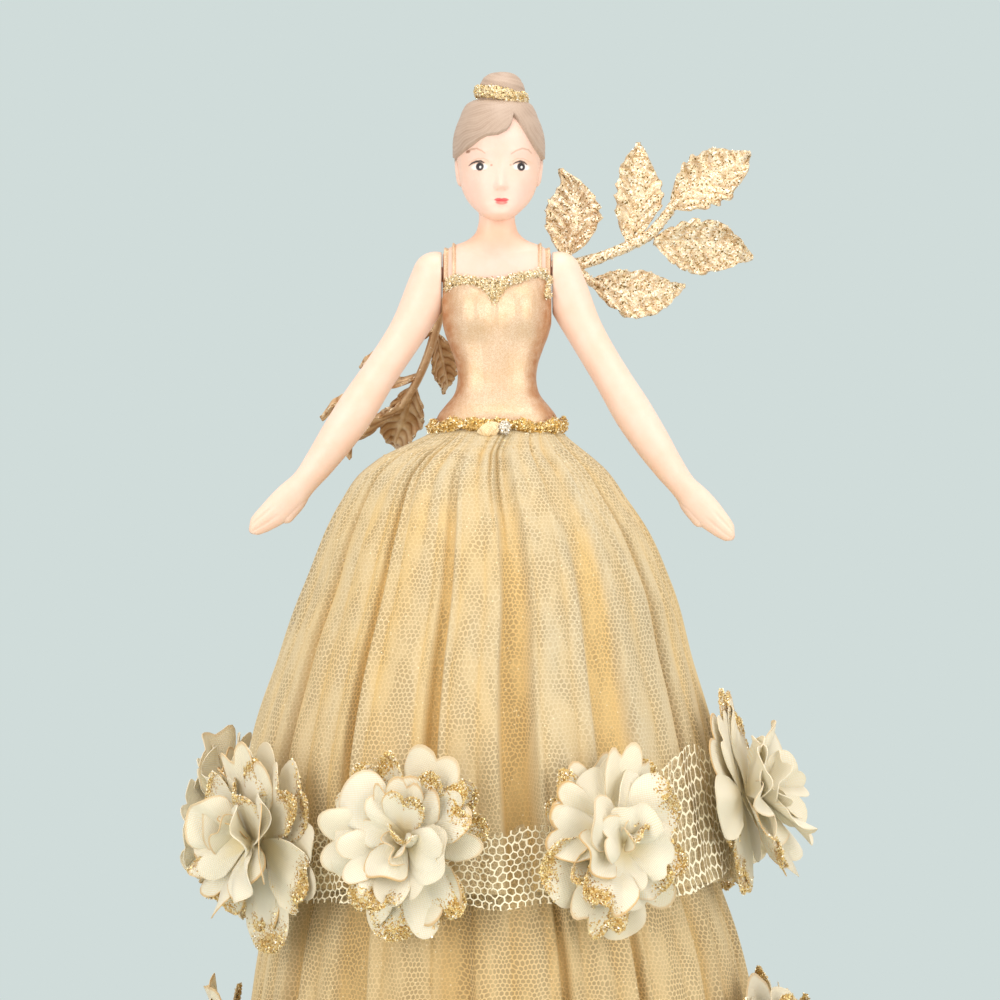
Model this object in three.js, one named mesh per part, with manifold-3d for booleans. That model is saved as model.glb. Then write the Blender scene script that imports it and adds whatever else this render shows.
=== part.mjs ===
// Fairy tree topper: a doll's upper body on a hollow cone, with a lining and two pleated tulle skirts,
// two flower garlands on net bands, two arms on shoulder pegs and two leaf-sprig wings on back pegs.
// Millimetres, +Z up. She faces -Y. The origin is on the cone's axis, on the plane its rim stands on.
// left and right are the doll's own, so her left side is +X. Heights on the doll count from the hips.

import * as THREE from 'three';
import { mergeVertices } from 'three/addons/utils/BufferGeometryUtils.js';
import Module from 'manifold-3d';

const wasm = await Module();
wasm.setup();

// Sizes shared by all pieces
const seatClearance = 0.3;
const cutOverrun = 40;
const roundSides = 14;

// Cone that the tip of the tree goes into
const coneHeight = 198.7;
const coneRimRadius = 60;
const coneTopRadius = 13.5;
const coneWall = 1.2;
const coneTopThickness = 1.6;
const coneSides = 36;

// Torso, from the hips on the cone to the neck inside the head
const torsoHeight = 66;
const torsoHalfWidth = 15.2;
const torsoDepth = 9.6;
const torsoSides = 24;
const torsoSquareness = 2.4;
const bustDepth = 2.6;
const bustSpacing = 13.4;
const bustHeight = 38.5;
const bustWidth = 5.4;
const bustRise = 6.2;
const hipPlugRadius = 7;
const hipPlugLength = 11;
const neckPlugRadius = 5.5;
const neckPlugLength = 8;

// Neckline between the gown and the skin, and its glitter trim
const necklineHeight = 46.3;
const necklineDip = 5.2;
const necklineDipWidth = 2.3;
const necklineCentre = -0.8;
const necklineBackHeight = 49.4;
const necklineSteps = 8;
const trimRadius = 1.35;
const trimSides = 6;
const trimSteps = 22;
const trimTailLength = 5.5;

// Shoulder straps: two cords each side, joined by a thin web
const strapInnerEdge = 10.9;
const strapCordWidth = 1.1;
const strapWebWidth = 1.1;
const strapCordThickness = 0.9;
const strapWebThickness = 0.45;

// Shoulder joints and arms
const shoulderSeatX = 14.4;
const shoulderHeight = 47.3;
const shoulderBallOffset = 1.9;
const armPegRadius = 2;
const armPegLength = 3.8;
const armLength = 84;
const armWidth = 5.2;
const armSides = 14;
const armSeatRadius = 15;
const thumbLength = 10.5;
const thumbRadius = 1.5;
const thumbSides = 6;

// Head, with the face turned a little to her left
const chinHeight = 61.3;
const headHeight = 31.2;
const headHalfWidth = 11.2;
const headDepth = 11.6;
const headCentreX = 0.5;
const headSides = 26;
const faceTurnX = 0.5;
const noseHeight = 70.6;
const noseRise = 1.5;
const noseWidth = 1.3;
const noseBridge = 4.2;
const eyeHeight = 76.1;
const eyeSpacing = 10.9;
const eyeHollow = 0.55;
const eyeWidth = 2.4;
const lipHeight = 66.9;
const lipWidth = 1.9;
const lipRise = 0.5;
const earHeight = 74.2;
const earHalfHeight = 3.5;
const earHalfWidth = 1.4;
const earHalfDepth = 1.9;

// Hair cap, bun and the glitter band round the bun
const hairThickness = 1.1;
const hairlineSide = 78.6;
const hairlineTop = 84;
const partingHeight = 89;
const partingX = 4.1;
const hairFrontDepth = 3.4;
const napeHeight = 67.5;
const bunX = 1.2;
const bunRadius = 5.9;
const bunHeight = 94.3;
const bunRise = 6.7;
const bunBandHeight = 95;
const bunBandHalfHeight = 1.5;
const bunBandThickness = 1.1;
const bunBandDrop = 0.6;
const bunBandSteps = 22;

// Waist cord with its knot and glitter bead
const waistHeight = 7;
const waistCordHalfHeight = 3.1;
const waistCordThickness = 2.3;
const waistCordSteps = 36;
const waistCordSides = 6;
const knotX = -2.2;
const knotHalfWidth = 2.2;
const knotHalfDepth = 1.2;
const knotHalfHeight = 2.3;
const waistBeadX = 1.7;
const waistBeadRadius = 1.4;

// Lining and skirts. Fold depths are from the crest to the valley at the hem.
const liningTopDrop = 1.5;
const liningHemRadius = 69;
const liningThickness = 1.6;
const liningSides = 28;
const skirtThickness = 0.9;
const skirtFolds = 16;
const stepsPerFold = 4;
const upperHemHeight = 84;
const upperHemRadius = 66;
const upperFoldDepth = 4.2;
const upperShift = -3.2;
const lowerTopHeight = 108;
const lowerHemHeight = 6;
const lowerHemRadius = 73.5;
const lowerFoldDepth = 3.4;

// Garlands: a gathered net band that carries each ring of flowers
const bandHeight = 17;
const bandThickness = 0.7;
const bandRipple = 0.7;
const bandRipples = 12;
const bandSides = 48;
const upperBandUnderHem = 2;
const hemBandOverHem = 13;
const upperSwag = 10;
const hemSwag = 5;
const swagAngle = 75;
const swagSpread = 32;

// Silk flowers
const flowerRadius = 21.5;
const flowerStretch = 1.16;
const flowerThickness = 15.5;
const flowerAboveBand = 15;
const flowerSpin = 47;
const flowerPetals = 5;
const stepsPerPetal = 3;
const petalNotchShare = 0.18;
const upperFlowers = 8;
const upperFlowerStart = -61;
const hemFlowers = 9;
const hemFlowerStart = -55;

// Wings: a stem with five leaves, on a peg in the back of the gown
const wingPegX = 10.8;
const wingPegHeight = 45.3;
const wingPegRadius = 1.1;
const wingPegDepth = 4;
const wingBackDepth = 13;
const wingSpan = 58;
const stemRadius = 1;
const stemSides = 6;
const stemSteps = 8;
const leafHalfWidth = 6.6;
const leafThickness = 0.8;
const leafCup = 1.6;
const leafSteps = 7;
const leafToothShare = 0.07;
const leafSkew = 0.9;
const leafFullness = 0.7;

// Unit factors
const degrees = Math.PI / 180;
const fullTurn = 2 * Math.PI;

// Heights above the cone's rim
const hipZ = coneHeight + seatClearance;
const shoulderZ = hipZ + shoulderHeight;
const wingPegZ = hipZ + wingPegHeight;
const waistZ = hipZ + waistHeight;
const upperTopZ = waistZ - waistCordHalfHeight - seatClearance;
const liningTopZ = coneHeight - liningTopDrop;
const upperBandZ = upperHemHeight - upperBandUnderHem;
const hemBandZ = lowerHemHeight + hemBandOverHem;

// Columns of the tables of sections
const widthColumn = 1;
const frontColumn = 2;
const backColumn = 3;
const shiftColumn = 1;

// Torso section: height, half width, front depth and back depth
const torsoShares = [
  [0, 1.05, 1.2, 1.24],
  [0.1, 1.06, 1.2, 1.24],
  [0.15, 1.03, 1.15, 1.18],
  [0.19, 0.9, 1, 1.02],
  [0.23, 0.76, 0.88, 0.88],
  [0.285, 0.69, 0.8, 0.8],
  [0.35, 0.71, 0.82, 0.8],
  [0.415, 0.8, 0.88, 0.82],
  [0.475, 0.9, 0.93, 0.84],
  [0.565, 0.98, 0.96, 0.86],
  [0.66, 1, 0.92, 0.86],
  [0.73, 1, 0.84, 0.82],
  [0.785, 0.98, 0.74, 0.76],
  [0.815, 0.92, 0.66, 0.7],
  [0.835, 0.78, 0.6, 0.64],
  [0.855, 0.56, 0.56, 0.58],
  [0.88, 0.42, 0.53, 0.54],
  [0.92, 0.345, 0.51, 0.51],
  [1, 0.345, 0.51, 0.51],
];

// Head section: height, half width, front reach and back reach
const headShares = [
  [0, 0.2, 0.8, -0.45],
  [0.03, 0.36, 0.93, -0.2],
  [0.08, 0.52, 0.99, 0.05],
  [0.16, 0.72, 0.99, 0.4],
  [0.25, 0.85, 0.98, 0.68],
  [0.34, 0.92, 0.97, 0.88],
  [0.43, 0.96, 0.96, 1],
  [0.52, 0.99, 0.96, 1.08],
  [0.61, 1, 0.97, 1.12],
  [0.7, 0.99, 0.95, 1.12],
  [0.79, 0.93, 0.88, 1.05],
  [0.87, 0.82, 0.76, 0.92],
  [0.94, 0.6, 0.55, 0.68],
  [0.985, 0.32, 0.28, 0.38],
];

// Form under the hair's thickness: the head, with the hair drawn up fuller to the foot of the bun
const hairShares = [
  ...headShares.filter(([height]) => height < 0.8),
  [0.87, 0.84, 0.78, 0.94],
  [0.94, 0.76, 0.66, 0.8],
  [0.975, 0.69, 0.56, 0.66],
  [1, 0.56, 0.45, 0.5],
];

// Arm axes from the shoulder to the fingertips: out and down, as shares of the arm's length. Her right
// forearm is held a little further out, and her left hand hangs a little steeper.
const leftArmAxisShares = [
  [0, 0],
  [0.068, -0.15],
  [0.177, -0.339],
  [0.27, -0.49],
  [0.4, -0.675],
  [0.467, -0.748],
  [0.555, -0.83],
];
const rightArmAxisShares = [
  [0, 0],
  [0.072, -0.15],
  [0.194, -0.339],
  [0.293, -0.49],
  [0.43, -0.673],
  [0.497, -0.74],
  [0.588, -0.808],
];

// Arm section along the axis: place, half width across the front view and half depth
const armSectionShares = [
  [0, 1.17, 1.08],
  [0.07, 1.12, 1.02],
  [0.2, 0.95, 0.92],
  [0.36, 0.92, 0.9],
  [0.5, 1, 0.9],
  [0.6, 0.93, 0.83],
  [0.7, 0.78, 0.68],
  [0.775, 0.68, 0.55],
  [0.83, 0.8, 0.44],
  [0.89, 0.84, 0.37],
  [0.95, 0.7, 0.3],
  [0.985, 0.45, 0.22],
  [1, 0.2, 0.12],
];
const shoulderCapShares = [0.97, 0.8, 0.45];
const thumbPlaceShare = 0.79;
const thumbTurn = 14;
const thumbSectionShares = [[0, 0.7], [0.25, 1], [0.7, 0.85], [0.92, 0.6], [1, 0.3]];

// Skirt profiles: drop, crest radius and fold depth
const liningShares = [
  [0, 0.229],
  [0.009, 0.34],
  [0.0365, 0.425],
  [0.087, 0.525],
  [0.163, 0.622],
  [0.265, 0.71],
  [0.452, 0.765],
  [0.574, 0.793],
  [0.723, 0.872],
  [1, 0.985],
];
const upperSkirtShares = [
  [0, 0.263, 0.1],
  [0.026, 0.386, 0.38],
  [0.056, 0.464, 0.45],
  [0.14, 0.582, 0.56],
  [0.317, 0.735, 0.72],
  [0.486, 0.836, 0.85],
  [0.7, 0.945, 0.95],
  [1, 1, 1],
];
const lowerSkirtShares = [
  [0, 0.747, 0.1],
  [0.235, 0.805, 0.6],
  [0.3, 0.836, 0.75],
  [0.524, 0.905, 0.9],
  [1, 1, 1],
];

// Sideways lean of the upper skirt by its drop
const shiftShares = [[0, 0], [0.026, 0.75], [0.06, 1], [0.5, 1], [1, 0.3]];

// Flower section: radius, height over its back, petal notch and petal offset
const flowerShares = [
  [0.12, 1, 0, 0],
  [0.38, 0.92, 0.6, 0],
  [0.74, 0.74, 1, 0.5],
  [0.6, 0.52, 0.8, 0.5],
  [1, 0.38, 1, 0],
  [0.95, 0.22, 1, 0],
  [0.35, 0, 0, 0],
];

// Wing stems and leaves as shares of the span, out, back and up from the peg. A leaf has its base,
// its tip and its width. The raised wing was flat, and the drooped one hangs back over the skirt.
const raisedStemShares = [
  [0, 0, 0], [0.09, 0, 0.09], [0.2, 0, 0.091], [0.33, 0.01, 0.12], [0.46, 0.02, 0.17], [0.56, 0.03, 0.235],
  [0.63, 0.03, 0.35],
];
const raisedLeafShares = [
  [0.2, 0, 0.1, 0.157, 0.05, 0.546, 1.08],
  [0.42, 0.02, 0.16, 0.453, 0.07, 0.662, 1.02],
  [0.61, 0.03, 0.34, 1.01, 0.1, 0.61, 1.08],
  [0.55, 0.03, 0.21, 1.005, 0.09, 0.132, 1.06],
  [0.21, 0, 0.09, 0.677, 0.06, -0.043, 0.96],
];
const droopedStemShares = [
  [0, 0, 0], [0.07, 0.02, -0.11], [0.095, 0.04, -0.2], [0.14, 0.07, -0.34], [0.2, 0.1, -0.47],
  [0.26, 0.14, -0.56],
];
const droopedLeafShares = [
  [0.1, 0.04, -0.21, 0.434, 0.25, -0.338, 0.95],
  [0.17, 0.09, -0.42, 0.586, 0.3, -0.552, 0.93],
  [0.25, 0.13, -0.55, 0.509, 0.37, -0.781, 0.6],
  [0.2, 0.1, -0.47, 0.312, 0.4, -0.764, 1],
  [0.1, 0.04, -0.22, 0.05, 0.3, -0.502, 0.7],
];

// Colours
const skin = { color: 0xfcead9, roughness: 0.45, metalness: 0 };
const brownHair = { color: 0xb29b84, roughness: 0.5, metalness: 0 };
const goldPaint = { color: 0xdcbd82, roughness: 0.35, metalness: 0.7 };
const goldGlitter = { color: 0xc9a352, roughness: 0.4, metalness: 0.8 };
const silverGlitter = { color: 0xe6dfd0, roughness: 0.4, metalness: 0.7 };
const goldTulle = { color: 0xecd69b, roughness: 0.9, metalness: 0 };
const oldGoldTulle = { color: 0xd6be87, roughness: 0.9, metalness: 0 };
const creamSatin = { color: 0xf5e6c0, roughness: 0.8, metalness: 0 };
const creamPetal = { color: 0xfcf3d7, roughness: 0.75, metalness: 0 };
const bronzeLeaf = { color: 0xb8924f, roughness: 0.45, metalness: 0.6 };
const greyCard = { color: 0xd9d2c4, roughness: 0.95, metalness: 0 };

// Closed surface through rings with the same number of points. Its ends are closed by fans, or the
// last ring is joined to the first one when closed is true.
function loft(rings, closed = false) {
  const count = rings[0].length;
  const points = rings.flat();
  const faces = [];
  const bands = closed ? rings.length : rings.length - 1;
  for (let i = 0; i < bands; i += 1) {
    const next = (i + 1) % rings.length;
    for (let j = 0; j < count; j += 1) {
      const k = (j + 1) % count;
      faces.push(i * count + j, i * count + k, next * count + k);
      faces.push(i * count + j, next * count + k, next * count + j);
    }
  }
  if (!closed) {
    fan(points, faces, rings[0], 0, false);
    fan(points, faces, rings[rings.length - 1], (rings.length - 1) * count, true);
  }
  return closedGeometry(points, faces);
}

function fan(points, faces, ring, start, forward) {
  const middle = new THREE.Vector3();
  ring.forEach((point) => middle.add(point));
  const hub = points.push(middle.divideScalar(ring.length)) - 1;
  for (let j = 0; j < ring.length; j += 1) {
    const k = (j + 1) % ring.length;
    faces.push(hub, forward ? start + j : start + k, forward ? start + k : start + j);
  }
}

// Geometry of a closed body, with its faces turned outwards
function closedGeometry(points, faces) {
  let volume = 0;
  for (let i = 0; i < faces.length; i += 3) {
    const [a, b, c] = [points[faces[i]], points[faces[i + 1]], points[faces[i + 2]]];
    volume += a.dot(new THREE.Vector3().crossVectors(b, c));
  }
  if (volume < 0) faces.reverse();
  const geometry = new THREE.BufferGeometry().setFromPoints(points);
  geometry.setIndex(faces);
  geometry.computeVertexNormals();
  return geometry;
}

function solid(geometry) {
  const bare = geometry.clone();
  bare.deleteAttribute('normal');
  bare.deleteAttribute('uv');
  const merged = mergeVertices(bare);
  const vertProperties = new Float32Array(merged.attributes.position.array);
  const triVerts = new Uint32Array(merged.index.array);
  return new wasm.Manifold(new wasm.Mesh({ numProp: 3, vertProperties, triVerts }));
}

function geometryOf(body) {
  const { vertProperties, triVerts } = body.getMesh();
  const geometry = new THREE.BufferGeometry();
  geometry.setAttribute('position', new THREE.BufferAttribute(vertProperties, 3));
  geometry.setIndex(new THREE.BufferAttribute(triVerts, 1));
  geometry.computeVertexNormals();
  return geometry;
}

function joined(bodies) {
  return bodies.reduce((whole, body) => whole.add(body));
}

function piece(name, geometry, finish) {
  const mesh = new THREE.Mesh(geometry, new THREE.MeshStandardMaterial(finish));
  mesh.name = name;
  return mesh;
}

function block(x0, x1, y0, y1, z0, z1) {
  const box = new THREE.BoxGeometry(x1 - x0, y1 - y0, z1 - z0);
  return solid(box.translate((x0 + x1) / 2, (y0 + y1) / 2, (z0 + z1) / 2));
}

// Round bar from one point to another
function bar(radius, from, to) {
  const along = new THREE.Vector3().subVectors(to, from);
  const cylinder = new THREE.CylinderGeometry(radius, radius, along.length(), roundSides);
  const up = new THREE.Vector3(0, 1, 0);
  cylinder.applyQuaternion(new THREE.Quaternion().setFromUnitVectors(up, along.normalize()));
  const middle = new THREE.Vector3().addVectors(from, to).divideScalar(2);
  return solid(cylinder.translate(middle.x, middle.y, middle.z));
}

function ellipsoid(halfX, halfY, halfZ, x, y, z) {
  const ball = new THREE.SphereGeometry(1, roundSides, roundSides / 2);
  ball.rotateX(Math.PI / 2);
  ball.scale(halfX, halfY, halfZ);
  return ball.translate(x, y, z);
}

function tube(points, radius, steps, sides) {
  const section = new THREE.Shape();
  section.absarc(0, 0, radius, 0, fullTurn);
  const extrudePath = new THREE.CatmullRomCurve3(points);
  return new THREE.ExtrudeGeometry(section, { steps, extrudePath, curveSegments: sides });
}

function mirroredX(geometry) {
  const copy = geometry.clone();
  copy.scale(-1, 1, 1);
  copy.index.array.reverse();
  copy.computeVertexNormals();
  return copy;
}

// One column of a table of shares, read at a place between its rows
function readShare(table, column, place) {
  let i = 1;
  while (i < table.length - 1 && table[i][0] < place) i += 1;
  const [low, high] = [table[i - 1], table[i]];
  const t = THREE.MathUtils.clamp((place - low[0]) / (high[0] - low[0]), 0, 1);
  return low[column] + (high[column] - low[column]) * t;
}

function bell(value, width) {
  return Math.exp(-((value / width) ** 2));
}

// Point of the torso at a height share and an angle, grown outwards by a margin
function torsoPoint(share, angle, margin) {
  const halfWidth = torsoHalfWidth * readShare(torsoShares, widthColumn, share) + margin;
  const depthColumn = Math.sin(angle) < 0 ? frontColumn : backColumn;
  const depth = torsoDepth * readShare(torsoShares, depthColumn, share) + margin;
  const power = 2 / torsoSquareness;
  const x = halfWidth * Math.sign(Math.cos(angle)) * Math.abs(Math.cos(angle)) ** power;
  const y = depth * Math.sign(Math.sin(angle)) * Math.abs(Math.sin(angle)) ** power;
  const height = share * torsoHeight;
  const shoulderLift = margin * THREE.MathUtils.smoothstep(height, bustHeight, shoulderHeight);
  return new THREE.Vector3(x, y - bustAt(x, y / depth, height), hipZ + height + shoulderLift);
}

function bustAt(x, depthShare, height) {
  if (depthShare >= 0) return 0;
  const cup = bell(Math.abs(x) - bustSpacing / 2, bustWidth) * bell(height - bustHeight, bustRise);
  return bustDepth * cup * Math.min(1, -2 * depthShare);
}

// Place of the torso's front face, or of its back face, behind the middle
function torsoFaceY(x, height, column) {
  const share = height / torsoHeight;
  const depth = torsoDepth * readShare(torsoShares, column, share);
  const out = Math.min(1, Math.abs(x) / (torsoHalfWidth * readShare(torsoShares, widthColumn, share)));
  const depthShare = (1 - out ** torsoSquareness) ** (1 / torsoSquareness);
  if (column === backColumn) return depth * depthShare;
  return -depth * depthShare - bustAt(x, -depthShare, height);
}

function torso(margin) {
  const rings = torsoShares.map(([share]) => ringOf(torsoSides, (angle) => torsoPoint(share, angle, margin)));
  return solid(loft(rings));
}

function ringOf(sides, pointAt) {
  return Array.from({ length: sides }, (_, j) => pointAt(j / sides * fullTurn));
}

function necklineAt(x) {
  return necklineHeight - necklineDip * Math.exp(-Math.abs(x - necklineCentre) / necklineDipWidth);
}

// Everything below the neckline, raised by a lift: sweetheart in front and level at the back
function belowNeckline(lift) {
  const reach = torsoHalfWidth + cutOverrun;
  const shape = new THREE.Shape();
  shape.moveTo(-reach, hipZ - cutOverrun);
  shape.lineTo(reach, hipZ - cutOverrun);
  for (let i = necklineSteps; i >= -necklineSteps; i -= 1) {
    const x = necklineCentre + reach * Math.sign(i) * (i / necklineSteps) ** 4;
    shape.lineTo(x, hipZ + necklineAt(x) + lift);
  }
  const prism = new THREE.ExtrudeGeometry(shape, { depth: cutOverrun, bevelEnabled: false });
  const backTop = hipZ + necklineBackHeight + lift;
  const back = block(-reach, reach, -seatClearance, cutOverrun, hipZ - cutOverrun, backTop);
  return solid(prism.rotateX(Math.PI / 2)).add(back);
}

// Flat seats at both shoulders, with the bores for the arms' pegs
function shoulderCuts() {
  const reach = torsoHalfWidth + cutOverrun;
  const cuts = [-1, 1].map((side) => {
    const [near, far] = [side * shoulderSeatX, side * reach].sort((a, b) => a - b);
    const low = shoulderZ - armSeatRadius;
    const seat = block(near, far, -armSeatRadius, armSeatRadius, low, shoulderZ + armSeatRadius);
    const boreEnd = side * (shoulderSeatX - armPegLength - seatClearance);
    const from = new THREE.Vector3(boreEnd, 0, shoulderZ);
    return seat.add(bar(armPegRadius + seatClearance, from, new THREE.Vector3(side * reach, 0, shoulderZ)));
  });
  return joined(cuts);
}

// Reach of a wing's peg from the wing's plane to its end in the gown
const wingPegReach = wingBackDepth - torsoFaceY(wingPegX, wingPegHeight, backColumn) + wingPegDepth;

function wingBores() {
  return joined([-1, 1].map((side) => {
    const from = new THREE.Vector3(side * wingPegX, wingBackDepth - wingPegReach - seatClearance, wingPegZ);
    return bar(wingPegRadius + seatClearance, from, new THREE.Vector3(side * wingPegX, cutOverrun, wingPegZ));
  }));
}

const neckSocketFloor = hipZ + necklineAt(necklineCentre) - neckPlugLength;

function bodice() {
  const plugEnd = new THREE.Vector3(0, 0, hipZ - hipPlugLength);
  const plug = bar(hipPlugRadius, plugEnd, new THREE.Vector3(0, 0, hipZ + hipPlugRadius));
  const socketFloor = new THREE.Vector3(0, 0, neckSocketFloor - seatClearance);
  const socketTop = new THREE.Vector3(0, 0, shoulderZ + cutOverrun);
  const socket = bar(neckPlugRadius + seatClearance, socketFloor, socketTop);
  const gown = torso(0).intersect(belowNeckline(0)).subtract(socket);
  return gown.subtract(shoulderCuts()).subtract(wingBores()).add(plug);
}

// Nose and lips standing out of the plain face, and the eyes lying back
function faceRelief(x, height) {
  const across = x - faceTurnX;
  const noseLength = height > noseHeight ? noseBridge : noseWidth;
  const nose = noseRise * bell(across, noseWidth) * bell(height - noseHeight, noseLength);
  const besideNose = Math.abs(across) - eyeSpacing / 2;
  const eyes = eyeHollow * bell(besideNose, eyeWidth) * bell(height - eyeHeight, eyeWidth);
  const lips = lipRise * bell(across, lipWidth) * bell(height - lipHeight, lipWidth / 2);
  return nose + lips - eyes;
}

// Point of the head. The steps round it are closer together on the face.
function headPoint(table, share, turn, margin) {
  const faceDraw = 0.55;
  const angle = turn - Math.PI / 2 - faceDraw * Math.sin(turn);
  const halfWidth = headHalfWidth * readShare(table, widthColumn, share) + margin;
  const front = headDepth * readShare(table, frontColumn, share) + margin;
  const back = headDepth * readShare(table, backColumn, share) + margin;
  const x = halfWidth * Math.cos(angle);
  const height = chinHeight + share * headHeight;
  const relief = Math.sin(angle) < 0 ? faceRelief(x, height) : 0;
  const y = (back - front) / 2 + (back + front) / 2 * Math.sin(angle) - relief;
  return new THREE.Vector3(headCentreX + x, y, hipZ + height);
}

// Rows of points through the lips, the nose and the eyes
const faceHeights = [lipHeight, noseHeight - noseWidth, noseHeight, noseHeight + noseWidth, eyeHeight];

function headForm(table, margin, extraHeights = []) {
  const shares = table.map(([share]) => share);
  extraHeights.forEach((height) => shares.push((height - chinHeight) / headHeight));
  shares.sort((a, b) => a - b);
  const rings = shares.map((share) => ringOf(headSides, (turn) => headPoint(table, share, turn, margin)));
  return solid(loft(rings));
}

function ears(margin) {
  const headShare = (earHeight - chinHeight) / headHeight;
  const earX = headHalfWidth * readShare(headShares, widthColumn, headShare);
  return joined([-1, 1].map((side) => solid(ellipsoid(
    earHalfWidth + margin,
    earHalfDepth + margin,
    earHalfHeight + margin,
    headCentreX + side * earX,
    earHalfDepth / 2,
    hipZ + earHeight,
  ))));
}

function headAndShoulders() {
  const chest = torso(0).subtract(belowNeckline(seatClearance * Math.SQRT2));
  const plugEnd = new THREE.Vector3(0, 0, neckSocketFloor);
  const plug = bar(neckPlugRadius, plugEnd, new THREE.Vector3(0, 0, shoulderZ));
  return joined([chest, plug.intersect(torso(0)), headForm(headShares, 0, faceHeights), ears(0)]).subtract(shoulderCuts());
}

// What the hair leaves bare: the face up to the hairline, which peaks at the parting, and the nape
function bareFace() {
  const reach = headHalfWidth + cutOverrun;
  const shape = new THREE.Shape();
  shape.moveTo(-reach, hipZ - cutOverrun);
  shape.lineTo(reach, hipZ - cutOverrun);
  shape.lineTo(reach, hipZ + hairlineSide);
  shape.lineTo(headCentreX + headHalfWidth, hipZ + hairlineSide);
  shape.quadraticCurveTo(partingX + bunX, hipZ + hairlineTop, partingX, hipZ + partingHeight);
  shape.quadraticCurveTo(partingX - bunX, hipZ + hairlineTop, 0, hipZ + hairlineTop);
  const sideX = headCentreX - headHalfWidth;
  shape.quadraticCurveTo(sideX / 2, hipZ + hairlineTop - hairThickness, sideX, hipZ + hairlineSide);
  shape.lineTo(-reach, hipZ + hairlineSide);
  const prism = new THREE.ExtrudeGeometry(shape, { depth: cutOverrun, bevelEnabled: false, curveSegments: 5 });
  prism.rotateX(Math.PI / 2).translate(0, hairFrontDepth, 0);
  const underNape = block(-reach, reach, -reach, reach, hipZ - cutOverrun, hipZ + napeHeight);
  return solid(prism).add(underNape);
}

function hair() {
  const bun = solid(ellipsoid(bunRadius, bunRadius, bunRise, bunX, 0, hipZ + bunHeight));
  const cap = headForm(hairShares, hairThickness).subtract(bareFace()).add(bun);
  return cap.subtract(headForm(headShares, seatClearance)).subtract(ears(seatClearance));
}

// Band round the foot of the bun, a little lower on her left
function bunBand() {
  const heightOverMiddle = (bunBandHeight - bunHeight) / bunRise;
  const inner = bunRadius * Math.sqrt(1 - heightOverMiddle ** 2) + seatClearance;
  const middle = inner + bunBandThickness / 2;
  const rings = Array.from({ length: bunBandSteps }, (_, i) => {
    const angle = i / bunBandSteps * fullTurn;
    return ringOf(waistCordSides, (turn) => {
      const radius = middle + bunBandThickness / 2 * Math.cos(turn);
      const drop = bunBandDrop * Math.cos(angle);
      const height = bunBandHeight - drop + bunBandHalfHeight * Math.sin(turn);
      return new THREE.Vector3(bunX + radius * Math.cos(angle), radius * Math.sin(angle), hipZ + height);
    });
  });
  return loft(rings, true);
}

// Glitter trim along the neckline, with a tail down her left side
function necklineTrim() {
  const tailX = shoulderSeatX - trimRadius;
  const places = [];
  for (let i = -necklineSteps; i <= necklineSteps; i += 1) {
    const reach = i < 0 ? tailX + necklineCentre : tailX - necklineCentre;
    const x = necklineCentre + reach * Math.sign(i) * Math.abs(i / necklineSteps) ** 1.4;
    places.push([x, necklineAt(x)]);
  }
  places.push([tailX, necklineHeight - trimTailLength]);
  const path = places.map(([x, height]) => new THREE.Vector3(x, torsoFaceY(x, height, frontColumn), hipZ + height));
  const cord = solid(tube(path, trimRadius, trimSteps, trimSides));
  return cord.subtract(torso(seatClearance)).subtract(shoulderCuts());
}

// Two cords side by side on a web, over one shoulder from the neckline to the gown's back edge
function strap(side) {
  const slab = (from, width) => {
    const [low, high] = [side * from, side * (from + width)].sort((a, b) => a - b);
    return block(low, high, -cutOverrun, cutOverrun, hipZ, shoulderZ + cutOverrun);
  };
  const outerCordEdge = strapInnerEdge + strapCordWidth + strapWebWidth;
  const cordSlabs = slab(strapInnerEdge, strapCordWidth).add(slab(outerCordEdge, strapCordWidth));
  const cords = torso(seatClearance + strapCordThickness).intersect(cordSlabs);
  const wholeWidth = outerCordEdge + strapCordWidth - strapInnerEdge;
  const web = torso(seatClearance + strapWebThickness).intersect(slab(strapInnerEdge, wholeWidth));
  const band = cords.add(web).subtract(torso(seatClearance));
  return band.subtract(belowNeckline(trimRadius + seatClearance)).subtract(shoulderCuts());
}

// Arm out to +X, with its shoulder joint at the origin of its mesh
function arm(axisShares) {
  const axis = new THREE.CatmullRomCurve3(axisShares.map(([out, up]) => (
    new THREE.Vector3(shoulderBallOffset + armLength * out, 0, armLength * up)
  )));
  const sectionAt = (place, back, halfWidth, halfDepth) => {
    const along = axis.getTangentAt(place);
    const across = new THREE.Vector3(-along.z, 0, along.x);
    const centre = axis.getPointAt(place).addScaledVector(along, -back);
    return ringOf(armSides, (turn) => {
      const point = centre.clone().addScaledVector(across, halfWidth * Math.cos(turn));
      point.y += halfDepth * Math.sin(turn);
      return point;
    });
  };
  const [, topWidthShare, topDepthShare] = armSectionShares[0];
  const capRings = shoulderCapShares.map((share) => {
    const shrink = Math.sqrt(1 - share ** 2);
    const halfWidth = armWidth * topWidthShare;
    return sectionAt(0, halfWidth * share, halfWidth * shrink, armWidth * topDepthShare * shrink);
  });
  const limbRings = armSectionShares.map(([place, width, depth]) => (
    sectionAt(place, 0, armWidth * width, armWidth * depth)
  ));
  const limb = solid(loft([...capRings, ...limbRings])).add(thumb(axis));
  const inside = block(-cutOverrun, seatClearance, -cutOverrun, cutOverrun, -cutOverrun, cutOverrun);
  const pegEnd = new THREE.Vector3(-armPegLength, 0, 0);
  const peg = bar(armPegRadius, pegEnd, new THREE.Vector3(shoulderBallOffset, 0, 0));
  return geometryOf(limb.subtract(inside).add(peg));
}

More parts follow.
